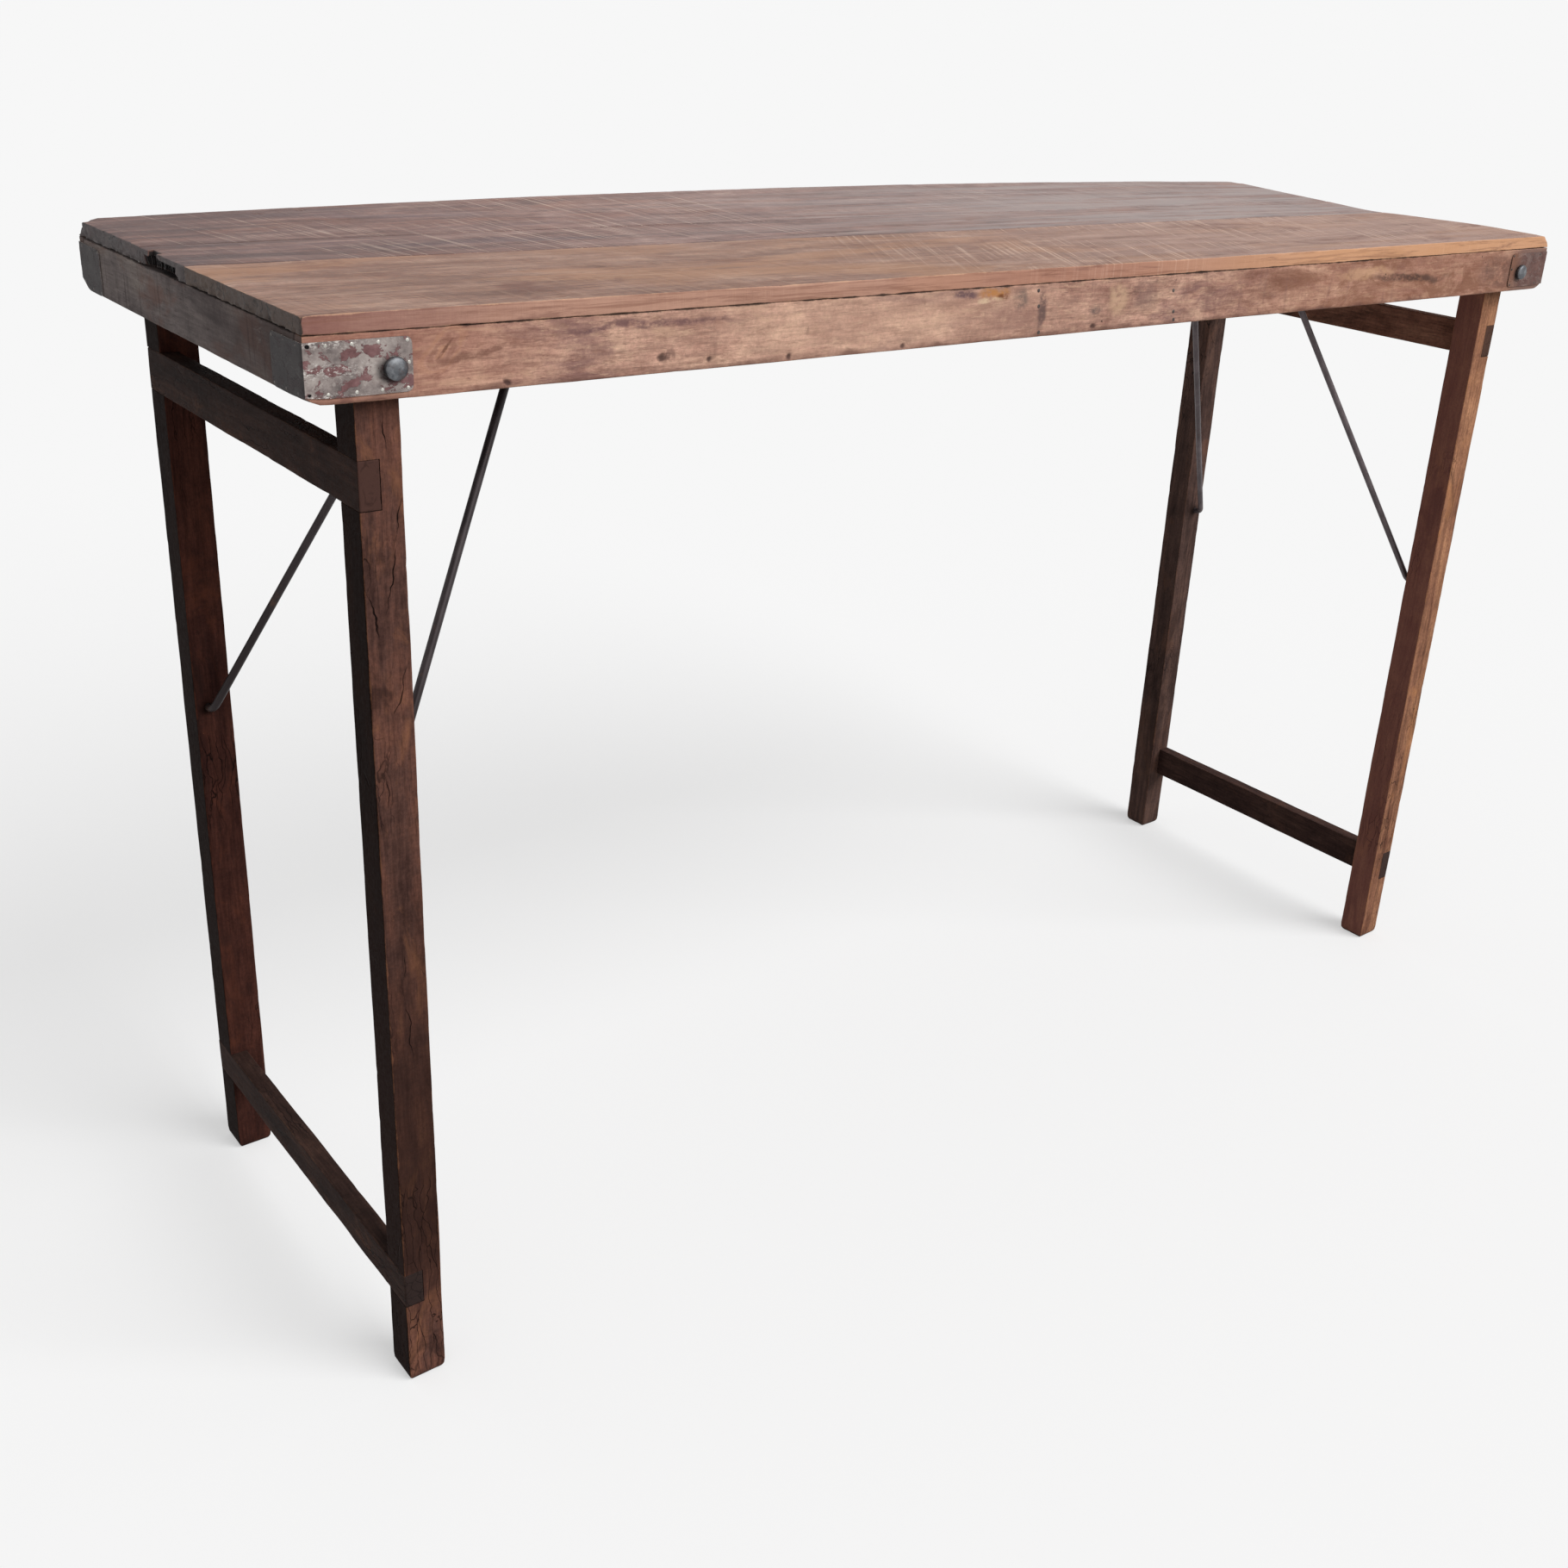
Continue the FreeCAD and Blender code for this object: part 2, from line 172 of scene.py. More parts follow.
class Block:
    """A worn block: points and quads, and each point's place in the straight block and way out of it.

    The marks are each point's distances from the nearest face and arris of the straight block.
    """

    def __init__(self, low, high, steps, arris, seed, dents, chips=3.0, extra=((), (), ()), empty=None):
        low, high = np.array(low), np.array(high)
        lines = [grid_lines(low[axis], high[axis], steps[axis], extra[axis]) for axis in range(3)]
        self.straight, self.quads = block_mesh(lines, empty)
        to_faces = np.sort(np.minimum(self.straight - low, high - self.straight), axis=1)
        self.marks = {"inside": to_faces[:, 0], "arris": to_faces[:, 1]}
        wear = arris * (0.8 + 0.7 * rough(self.straight, wear_scale, seed))
        torn = np.clip(rough(self.straight, chip_scale, seed + 1) - 0.25, 0, 1) * chips * arris
        radius = np.clip(wear + torn, least_radius, arris_lines[-1])
        self.points, self.outward = soften(self.straight, low, high, radius)
        hollow = 0.5 + 0.5 * rough(self.straight, dent_scale, seed + 2)
        self.points -= self.outward * (dents * np.clip(hollow, 0, 1))[:, None]

    def press(self, axis, sense, centre, size, depth):
        """Push a rounded hollow into a face; centre and size are along the other two axes, in order."""
        others = [other for other in range(3) if other != axis]
        away = sum(((self.points[:, other] - centre[k]) / size[k]) ** 2 for k, other in enumerate(others))
        on_face = self.outward[:, axis] * sense > least_facing
        self.points[:, axis] -= sense * depth * np.exp(-away) * on_face


def ring_quads(rows, count, ring=False):
    """Faces between rows of points round a line; a ring's last row meets its first, others get caps."""
    quads = []
    for row in range(rows if ring else rows - 1):
        start, end = row * count, (row + 1) % rows * count
        for step in range(count):
            after = (step + 1) % count
            quads.append((start + step, start + after, end + after, end + step))
    if not ring:
        quads.append(tuple(reversed(range(count))))
        quads.append(tuple(range((rows - 1) * count, rows * count)))
    return quads


class Heap:
    """Small meshes gathered into one piece."""

    def __init__(self):
        self.points = np.zeros((0, 3))
        self.quads = []
        self.marks = {}

    def add(self, points, quads):
        start = len(self.points)
        self.points = np.concatenate([self.points, points])
        self.quads += [tuple(int(corner) + start for corner in quad) for quad in quads]

    def stand(self, profile, place, axis, sense, count=28, ring=False):
        """Turn a profile (radius, height) and stand it on a face that looks up or down an axis."""
        angles = 2 * math.pi * np.arange(count) / count
        radius, height = (np.repeat(column, count) for column in np.transpose(profile))
        x = radius * np.tile(np.cos(angles), len(profile))
        y = radius * np.tile(np.sin(angles), len(profile))
        out = sense * height
        stood = [(out, sense * x, y), (x, out, -sense * y), (x, sense * y, out)][axis]
        self.add(np.array(place) + np.stack(stood, 1), ring_quads(len(profile), count, ring))


def link(name, data):
    """A new object in the scene."""
    thing = bpy.data.objects.new(name, data)
    bpy.context.scene.collection.objects.link(thing)
    return thing


def add_piece(name, shape, finish, node, replaces=True):
    """A new piece from a block or heap, on the body of a node that it stands for or sits on."""
    mesh = bpy.data.meshes.new(name)
    mesh.from_pydata(shape.points.tolist(), [], [list(quad) for quad in shape.quads])
    mesh.shade_smooth()
    mesh.set_sharp_from_angle(angle=smooth_angle)
    for mark, values in shape.marks.items():
        mesh.attributes.new(mark, "FLOAT", "POINT").data.foreach_set("value", values.astype(np.float32))
    mesh.materials.append(finish)
    piece = link(name, mesh)
    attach(piece, body_of[node])
    if replaces:
        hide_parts(node)


def bent_line(moves):
    """Distance, place and left-hand normal along a line of runs and bends, each a length and a turn."""
    place = np.zeros(2)
    heading = walked = 0.0
    rows = []
    for length, turn in moves:
        count = max(2, round(length / bend_step))
        for _ in range(count):
            rows.append((walked, *place, -math.sin(heading), math.cos(heading)))
            heading += turn / count / 2
            place = place + np.array([math.cos(heading), math.sin(heading)]) * length / count
            heading += turn / count / 2
            walked += length / count
    rows.append((walked, *place, -math.sin(heading), math.cos(heading)))
    return np.array(rows)


def bend(points, line):
    """Plan places of points given as distance along a bent line and depth to its left."""
    x, y, normal_x, normal_y = (np.interp(points[:, 0], line[:, 0], column) for column in line[:, 1:].T)
    return x + normal_x * points[:, 1], y + normal_y * points[:, 1]


# Materials


def tone(*display):
    """Linear colour of a display colour."""
    channels = []
    for value in display:
        value /= 255
        channels.append(value / 12.92 if value <= 0.04045 else ((value + 0.055) / 1.055) ** 2.4)
    return (*channels, 1.0)


def linear_grey(level):
    return (level, level, level, 1.0)


class Nodes:
    """A tree of shader nodes that is built up call by call."""

    def __init__(self, tree):
        self.tree = tree

    def put(self, socket, value):
        """Link an output to a socket, or set a value on it; three numbers for a colour are display values."""
        if isinstance(value, bpy.types.NodeSocket):
            self.tree.links.new(value, socket)
        elif socket.type == "RGBA" and len(value) == 3:
            socket.default_value = tone(*value)
        else:
            socket.default_value = value

    def add(self, kind, inputs=(), **settings):
        node = self.tree.nodes.new(kind)
        for key, value in settings.items():
            setattr(node, key, value)
        for key, value in dict(inputs).items():
            self.put(node.inputs[key], value)
        return node

    def vector(self, operation, first, second):
        return self.add("ShaderNodeVectorMath", {0: first, 1: second}, operation=operation).outputs[0]

    def math(self, operation, first, second=0.0):
        return self.add("ShaderNodeMath", {0: first, 1: second}, operation=operation).outputs[0]

    def times(self, first, second):
        return self.math("MULTIPLY", first, second)

    def plus(self, first, second):
        return self.math("ADD", first, second)

    def either(self, *masks):
        result = masks[0]
        for mask in masks[1:]:
            result = self.math("MAXIMUM", result, mask)
        return result

    def ease(self, value, start, end, low=0.0, high=1.0):
        """Smooth rise from low to high as the value goes from start to end."""
        inputs = {"Value": value, "From Min": start, "From Max": end, "To Min": low, "To Max": high}
        return self.add("ShaderNodeMapRange", inputs, interpolation_type="SMOOTHSTEP").outputs[0]

    def mix(self, share, first, second, mode="MIX"):
        node = self.add("ShaderNodeMix", data_type="RGBA", blend_type=mode)
        for place, value in [(0, share), (6, first), (7, second)]:
            self.put(node.inputs[place], value)
        return node.outputs[2]

    def seen(self):
        """One for what the eye meets, straight, mirrored or through glass; nought for light on its way."""
        rays = self.add("ShaderNodeLightPath").outputs
        return self.either(rays["Is Camera Ray"], rays["Is Glossy Ray"], rays["Is Transmission Ray"])


class Finish(Nodes):
    """One procedural material, worked out from places on the piece."""

    wobble_scale = 45.0
    wobble = 0.012

    def __init__(self, name):
        self.material = bpy.data.materials.new(name)
        self.material.use_nodes = True
        super().__init__(self.material.node_tree)
        self.shader = self.tree.nodes["Principled BSDF"]
        coordinates = self.add("ShaderNodeTexCoord").outputs
        self.place = coordinates["Object"]
        self.normal = coordinates["Normal"]
        inputs = {"Vector": self.place, "Scale": self.wobble_scale, "Detail": 3.0}
        jitter = self.add("ShaderNodeTexNoise", inputs).outputs["Color"]
        centred = self.vector("SUBTRACT", jitter, (0.5, 0.5, 0.5))
        moved = self.vector("MULTIPLY", centred, (self.wobble, self.wobble, self.wobble))
        self.wobbly = self.vector("ADD", self.place, moved)

    def noise(self, scale, detail=4, roughness=0.6, distortion=0.0, turn=0.0):
        """Noise at places scaled along the axes, first turned about Z."""
        place = self.place
        if turn:
            place = self.add("ShaderNodeMapping", {"Vector": place, "Rotation": (0, 0, turn)}).outputs[0]
        if not isinstance(scale, tuple):
            scale = (scale, scale, scale)
        place = self.add("ShaderNodeMapping", {"Vector": place, "Scale": scale}).outputs[0]
        inputs = {"Vector": place, "Scale": 1.0, "Detail": detail, "Roughness": roughness,
                  "Distortion": distortion}
        return self.add("ShaderNodeTexNoise", inputs).outputs[0]

    def patches(self, scale, low, high, detail=4, roughness=0.6, distortion=0.0):
        """Mask of ragged patches, where noise rises from low to high."""
        return self.ease(self.noise(scale, detail, roughness, distortion), low, high)

    def ragged(self, distance, amount, scale, detail, roughness=0.6):
        """A distance made uneven."""
        return self.plus(distance, self.times(self.noise(scale, detail, roughness), amount))

    def cracks(self, scale, width):
        """Thin branching lines."""
        place = self.vector("MULTIPLY", self.wobbly, scale)
        cells = self.add("ShaderNodeTexVoronoi", {"Vector": place, "Scale": 1.0}, feature="DISTANCE_TO_EDGE")
        return self.ease(cells.outputs["Distance"], width, 0.0)

    def dots(self, spacing, size):
        """Small round spots, scattered."""
        cells = self.add("ShaderNodeTexVoronoi", {"Vector": self.place, "Scale": 1 / spacing})
        return self.ease(cells.outputs["Distance"], size / spacing, 0.6 * size / spacing)

    def ramp(self, value, positions, tones):
        node = self.add("ShaderNodeValToRGB", {"Fac": value})
        elements = node.color_ramp.elements
        while len(elements) < len(tones):
            elements.new(1.0)
        for element, position, colour in zip(elements, positions, tones):
            element.position = position
            element.color = tone(*colour)
        return node.outputs[0]

    def away_from(self, centre, size, turn=(0, 0, 0)):
        """Ragged distance from a centre, one at the given half sizes along the turned axes."""
        inputs = {"Vector": self.wobbly, "Location": centre, "Scale": size, "Rotation": turn}
        local = self.add("ShaderNodeMapping", inputs, vector_type="TEXTURE").outputs[0]
        return self.add("ShaderNodeVectorMath", {0: local}, operation="LENGTH").outputs["Value"]

    def spot(self, centre, size, turn=(0, 0, 0), soft=0.5):
        """Mask of a ragged patch about a centre."""
        return self.ease(self.away_from(centre, size, turn), 1.0, 1.0 - soft)

    def attribute(self, name):
        return self.add("ShaderNodeAttribute", attribute_name=name).outputs["Fac"]

    def axis_of(self, vector, axis):
        return self.add("ShaderNodeSeparateXYZ", {0: vector}).outputs[axis]

    def facing(self, axis, sense, start=0.5, end=0.85):
        """Mask of the faces that look one way along an axis."""
        return self.ease(self.times(self.axis_of(self.normal, axis), sense), start, end)

    def along(self, axis, start, end):
        """Rise from nought to one between two places along an axis."""
        return self.ease(self.axis_of(self.place, axis), start, end)

    def paint(self, mask, colour, share=1.0):
        """Lay a colour over what is there, where the mask is."""
        if share != 1.0:
            mask = self.times(mask, share)
        self.colour = self.mix(mask, self.colour, colour)

    def finish(self, roughness, specular, height=None, depth=0.0, metallic=0.0):
        """Hand the colour to the shader; the height becomes relief of the given depth."""
        values = {"Base Color": self.colour, "Roughness": roughness, "Metallic": metallic,
                  "Specular IOR Level": specular}
        if height is not None:
            bump = self.add("ShaderNodeBump", {"Height": height, "Distance": depth, "Strength": 1.0})
            values["Normal"] = bump.outputs[0]
        for name, value in values.items():
            self.put(self.shader.inputs[name], value)
        return self.material


class Wood(Finish):
    """Weathered timber: figure and fibres along the grain, mottling, pores, cracks and worn arrises."""

    pore_tone = (54, 38, 34)
    crack_tone = (16, 11, 10)
    # Tone of the painted shade and dirt along the joint between apron and planks
    joint_shade_and_dirt_tone = (30, 20, 18)

    def __init__(self, name, grain, tones, figure=(8, 34), fibre=0.26):
        super().__init__(name)
        self.grain = grain
        bands = self.noise(self.grained(*figure), 7, 0.62, 0.9)
        mottle = self.noise(36, 9, 0.72)
        fibres = self.noise(self.grained(30, 480), 5, 0.7)
        self.speckle = self.noise(380, 4, 0.75)
        mixed = self.plus(self.times(bands, 0.58), self.times(mottle, 0.42))
        colour = self.ramp(mixed, np.linspace(0.37, 0.63, len(tones)), tones)
        shade = self.times(self.ease(fibres, 0.3, 0.7, 1 - fibre, 1 + fibre),
                           self.ease(self.speckle, 0.25, 0.75, 0.8, 1.2))
        grey = self.add("ShaderNodeCombineColor", {0: shade, 1: shade, 2: shade}).outputs[0]
        self.colour = self.mix(1.0, colour, grey, "MULTIPLY")
        self.paint(self.patches(self.grained(90, 1000), 0.6, 0.68, 2), self.pore_tone, 0.4)
        self.height = self.plus(self.times(fibres, 0.5), self.times(self.speckle, 0.25))

    def grained(self, along, across):
        """Scale of noise that is drawn out along the grain."""
        return tuple(along if axis == self.grain else across for axis in range(3))

    def dig(self, mask, depth):
        """Lower the surface where the mask is."""
        self.height = self.plus(self.height, self.times(mask, -depth))

    def blotch(self, colour, share, scale, low=0.5, high=0.66, distortion=0.6):
        """Ragged patches of a colour."""
        self.paint(self.patches(scale, low, high, 7, 0.66, distortion), colour, share)

    def saw(self, degrees, pale, share, where=None, spacing=2.6 * mm):
        """Lines left by the saw across the board, in worn patches."""
        lines = self.noise((1 / spacing, 4, 4), 2, 0.7, 0.0, math.radians(degrees))
        worn = self.patches((6, 13, 13), 0.36, 0.58, 6, 0.7)
        if where is not None:
            worn = self.times(worn, where)
        self.paint(self.times(self.ease(lines, 0.57, 0.63), worn), pale, share)
        self.paint(self.times(self.ease(lines, 0.43, 0.34), worn), (74, 52, 48), 0.6 * share)
        self.dig(self.times(lines, worn), -0.6)

    def knot(self, centre, size, turn, rings):
        """Dark and pale rings of grain that run round a knot."""
        away = self.away_from(centre, size, turn)
        uneven = self.ragged(away, 0.5, 120, 3)
        wave = self.math("SINE", self.times(uneven, 2 * math.pi * rings))
        near = self.ease(away, 1.0, 0.4)
        self.paint(self.times(near, self.ease(wave, 0, 1)), (112, 70, 56), 0.32)
        self.paint(self.times(near, self.ease(wave, 0, -1)), (190, 138, 104), 0.3)

    def streaks(self, scale, dark, pale, share):
        """Dark and pale drawn-out flecks."""
        flecks = self.noise(scale, 5, 0.72, 0.5)
        self.paint(self.ease(flecks, 0.47, 0.34), dark, share)
        self.paint(self.ease(flecks, 0.55, 0.68), pale, share)

    def haze(self, mask, colour, share, scale):
        """A colour drawn out in streaks over part of the board."""
        drawn = self.ease(self.noise(scale, 5, 0.7, 0.4), 0.38, 0.62, 0.3, 1.0)
        self.paint(self.times(mask, drawn), colour, share)

    def check(self, scale, share, width=0.05):
        """Drying cracks along the grain, in scattered stretches."""
        lines = self.times(self.cracks(scale, width), self.patches(7, 0.5, 0.62, 2))
        self.paint(lines, self.crack_tone, share)
        self.dig(lines, 1.5)

    def wear(self, colour, share, reach):
        """Lighter, rubbed arrises."""
        uneven = self.ragged(self.attribute("arris"), 5 * mm, 60, 5, 0.7)
        self.paint(self.ease(uneven, reach + 2.5 * mm, 2.2 * mm), colour, share)

    def joint_shade_and_dirt(self):
        """Painted shade and dirt along the joint between apron and planks, which thin out towards the right."""
        away = self.math("ABSOLUTE", self.plus(self.axis_of(self.place, 2), -apron_top))
        line = self.ease(self.ragged(away, 3 * mm, 70, 4), 2.4 * mm, 1.5 * mm)
        self.paint(self.times(line, self.along(0, 0.62, 0.3)), self.joint_shade_and_dirt_tone, 0.85)

    def seam_shade_and_dirt(self, share):
        """Dark line along the arrises on the upper face: painted shade in the seams, and dirt."""
        uneven = self.ragged(self.attribute("arris"), 4 * mm, (40, 90, 90), 5, 0.7)
        line = self.ease(uneven, 3.2 * mm, 1.8 * mm)
        self.paint(self.times(line, self.facing(2, 1)), (66, 46, 44), share)

    def end_grain(self, colour, share=0.85, flecked=0.6):
        """Sawn ends: their own tone, flecks and splits."""
        ends = self.either(self.facing(self.grain, 1, 0.3, 0.6), self.facing(self.grain, -1, 0.3, 0.6))
        self.paint(ends, colour, share)
        flecks = self.ease(self.noise((150, 150, 260), 4, 0.75), 0.46, 0.34)
        self.paint(self.times(ends, flecks), (30, 24, 23), flecked)
        splits = self.times(self.cracks((60, 110, 60), 0.05), self.patches(50, 0.46, 0.56, 3))
        self.paint(self.times(ends, splits), (20, 15, 15), 1.4 * flecked)

    def done(self, roughness=0.72, depth=0.35 * mm, specular=0.2):
        spread = self.ease(self.speckle, 0.2, 0.8, roughness - 0.1, roughness + 0.12)
        return self.finish(spread, specular, self.height, depth)


def make_front_plank_wood():
    tones = [(118, 86, 73), (146, 112, 97), (160, 127, 112), (182, 150, 133)]
    wood = Wood("tan_plank_wood", 0, tones, (6, 32))
    wood.blotch((108, 82, 74), 0.42, (9, 22, 22))
    wood.blotch((178, 133, 103), 0.6, (4, 14, 14), 0.44, 0.62)
    wood.saw(29, (216, 186, 166), 0.85, wood.along(0, -0.25, 0.05), 2.5 * mm)
    wood.saw(-6, (192, 158, 134), 0.3, wood.along(0, -0.1, -0.3), 2.5 * mm)
    wood.streaks((10, 90, 90), (108, 76, 64), (198, 164, 142), 0.42)
    wood.haze(wood.along(0, -0.15, 0.2), (186, 155, 144), 0.62, (6, 80, 80))
    wood.blotch((206, 184, 166), 0.5, (40, 120, 120), 0.66, 0.76)
    front_edge = wood.facing(1, -1)
    edge_tone = (140, 92, 84)
    for start, end, colour in [(-0.62, -0.42, (202, 154, 132)), (-0.3, -0.05, (186, 132, 110)),
                               (0.0, 0.3, (228, 168, 120))]:
        edge_tone = wood.mix(wood.along(0, start, end), edge_tone, colour)
    wood.paint(front_edge, edge_tone, 0.7)
    wood.blotch((108, 68, 58), 0.5, (14, 30, 110), 0.54, 0.68)
    shadow = wood.patches((9, 30, 240), 0.5, 0.62, 6, 0.7, 0.4)
    wood.paint(wood.times(front_edge, shadow), (124, 80, 62), 0.5)
    wood.wear((214, 170, 138), 0.5, 0.8 * mm)
    wood.joint_shade_and_dirt()
    wood.end_grain((65, 58, 54))
    return wood.done(0.66, 0.35 * mm, 0.3)


def make_grey_plank_wood():
    tones = [(96, 71, 65), (131, 101, 94), (149, 118, 110), (171, 142, 133)]
    wood = Wood("grey_plank_wood", 0, tones, (5, 40), 0.32)
    wood.blotch((152, 104, 86), 0.55, (6, 18, 18))
    wood.blotch((100, 88, 95), 0.45, (4, 26, 26), 0.54, 0.66)
    wood.blotch((66, 49, 48), 0.65, (2.6, 75, 75), 0.57, 0.68, 0.8)
    wood.streaks((9, 95, 95), (84, 62, 60), (190, 164, 152), 0.5)
    wood.saw(-8.6, (206, 182, 166), 0.7, wood.along(0, 0.05, -0.2))
    wood.saw(-14, (198, 180, 168), 0.6, wood.along(0, -0.05, 0.2), 2.5 * mm)
    wood.haze(wood.along(0, -0.5, 0.3), (173, 161, 158), 0.8, (4, 75, 75))
    wood.haze(wood.along(0, -0.25, -0.62), (80, 66, 66), 0.85, (5, 60, 60))
    wood.blotch((206, 192, 180), 0.45, (50, 120, 120), 0.68, 0.78)
    wood.seam_shade_and_dirt(0.7)
    wood.joint_shade_and_dirt()
    wood.end_grain((86, 80, 80))
    # Near black on the faces inside the rotted pocket: painted shade in the hollow, and dark rotted wood.
    wood.paint(wood.ease(wood.attribute("inside"), 0.2 * mm, 1.4 * mm), (14, 9, 9), 0.97)
    crack = wood.spot((-table_end, -14 * mm, apron_top + 5 * mm), (4 * mm, 0.7 * mm, 5.5 * mm), (0.25, 0, 0))
    wood.paint(crack, (18, 12, 12), 0.95)
    return wood.done(0.66, 0.4 * mm, 0.3)


# Stains on the front apron: place along and up and half sizes in mm, tone, share, and lean in radians
apron_stains = [
    (-137, 747, 16, 5, (98, 74, 80), 0.9, 0),
    (-108, 747, 20, 6, (186, 128, 74), 0.9, 0),
    (-100, 744, 8, 4, (112, 66, 42), 0.9, 0),
    (-114, 742, 18, 3, (220, 190, 158), 0.9, 0),
    (-82, 741, 10, 10, (116, 98, 90), 0.8, 0),
    (-61, 733, 6, 21, (94, 74, 72), 0.85, 0.08),
    (20, 735, 16, 17, (212, 176, 144), 0.6, 0),
    (-3, 729, 8, 4, (92, 78, 76), 0.8, 0),
    (50, 737, 17, 15, (120, 92, 86), 0.6, 0),
    (-90, 728, 34, 12, (142, 104, 94), 0.55, 0),
    (-533, 738, 10, 1.6, (92, 56, 44), 0.8, -0.75),
    (-510, 735, 40, 3, (112, 74, 62), 0.7, -0.1),
    (-400, 743, 90, 3.5, (100, 70, 74), 0.75, 0),
    (-590, 733, 22, 22, (132, 80, 66), 0.5, 0),
    (395, 733, 75, 5, (66, 46, 40), 0.8, 0.05),
    (330, 740, 50, 6, (208, 164, 130), 0.6, 0),
    (540, 732, 50, 20, (96, 68, 60), 0.6, 0),
]


def make_side_apron_wood():
    tones = [(124, 86, 76), (166, 125, 110), (188, 147, 129), (214, 174, 150)]
    wood = Wood("side_apron_wood", 0, tones, (9, 34))
    wood.blotch((118, 86, 86), 0.65, (7, 28, 28), 0.52, 0.66, 1.2)
    wood.blotch((208, 170, 142), 0.5, (16, 24, 50), 0.54, 0.68)
    wood.streaks((20, 90, 120), (112, 74, 62), (222, 182, 152), 0.4)
    wood.streaks((70, 240, 300), (112, 74, 62), (228, 190, 160), 0.4)
    wood.paint(wood.along(0, -0.42, -0.56), (152, 98, 80), 0.45)
    right = wood.along(0, 0.06, 0.3)
    wood.paint(wood.times(right, wood.patches((14, 34, 34), 0.46, 0.6, 7, 0.7, 1.2)), (100, 66, 52), 0.7)
    wood.paint(right, (160, 106, 78), 0.4)
    wood.paint(wood.patches((60, 4, 9), 0.56, 0.68, 5, 0.7), (126, 92, 84), 0.35)
    wood.blotch((88, 60, 56), 0.6, 60, 0.64, 0.72)
    front = -table_side
    pale = wood.spot((-0.2, front, apron_low.z + 20 * mm), (0.3, 0.05, 0.06), soft=1.0)
    wood.paint(pale, (214, 174, 150), 0.36)
    for x, z in apron_pits:
        pit = wood.spot((x * mm, front, z * mm), (4 * mm, 5 * mm, 3 * mm), soft=0.7)
        wood.paint(pit, (58, 38, 36), 0.85)
    wood.knot((-535 * mm, front, 737 * mm), (26 * mm, 24 * mm, 13 * mm), (0, -0.6, 0), 2)
    broken = wood.patches((110, 110, 160), 0.3, 0.55, 5, 0.7)
    for x, z, half_width, half_height, colour, share, lean in apron_stains:
        size = (half_width * mm, 6 * mm, half_height * mm)
        stain = wood.spot((x * mm, front, z * mm), size, (0, lean, 0), 0.6)
        wood.paint(wood.times(stain, broken), colour, share)
    holes = wood.times(wood.dots(16 * mm, 1 * mm), wood.patches((18, 18, 40), 0.56, 0.62, 2))
    wood.paint(holes, (48, 30, 26), 0.85)
    wood.dig(holes, 1.5)
    height = wood.axis_of(wood.wobbly, 2)
    wood.paint(wood.ease(height, apron_low.z + 4 * mm, apron_low.z - 1 * mm), (98, 66, 58), 0.7)
    wood.paint(wood.along(0, table_end - 68 * mm, table_end - 36 * mm), (122, 97, 90), 0.75)
    wood.wear((198, 152, 124), 0.35, 1.0 * mm)
    wood.joint_shade_and_dirt()
    wood.end_grain((70, 60, 58))
    return wood.done(0.68, 0.4 * mm, 0.18)


def make_end_apron_wood():
    tones = [(92, 84, 83), (118, 108, 106), (134, 123, 120), (152, 140, 133)]
    wood = Wood("end_apron_wood", 1, tones, (6, 34), 0.22)
    wood.blotch((122, 86, 74), 0.55, (12, 12, 30))
    wood.paint(wood.along(1, 0.02, -0.17), (78, 63, 59), 0.6)
    scratches = wood.patches((200, 240, 16), 0.57, 0.68, 3)
    wood.paint(scratches, (66, 54, 52), 0.55)
    wood.blotch((70, 60, 60), 0.6, (10, 14, 26))
    wood.blotch((158, 148, 144), 0.4, (40, 50, 90), 0.6, 0.72)
    wood.wear((136, 120, 112), 0.35, 1.2 * mm)
    wood.joint_shade_and_dirt()
    # Near black on the floor of the rotted pocket: dark rotted wood, and painted shade under the plank's roof.
    rot_and_shade = wood.spot((8 * mm - table_end, rot_middle, apron_top), (9 * mm, 29 * mm, 3 * mm), soft=0.25)
    wood.paint(rot_and_shade, (16, 10, 10), 0.95)
    wood.end_grain((72, 62, 60))
    return wood.done(0.75, 0.4 * mm, 0.1)


def make_batten_wood():
    wood = Wood("batten_wood", 1, [(104, 80, 68), (128, 100, 84), (146, 116, 96)])
    wood.saw(90, (172, 144, 120), 0.3)
    wood.blotch((72, 56, 50), 0.5, (8, 16, 16))
    wood.check((90, 8, 90), 0.7)
    wood.end_grain((88, 70, 60))
    return wood.done()


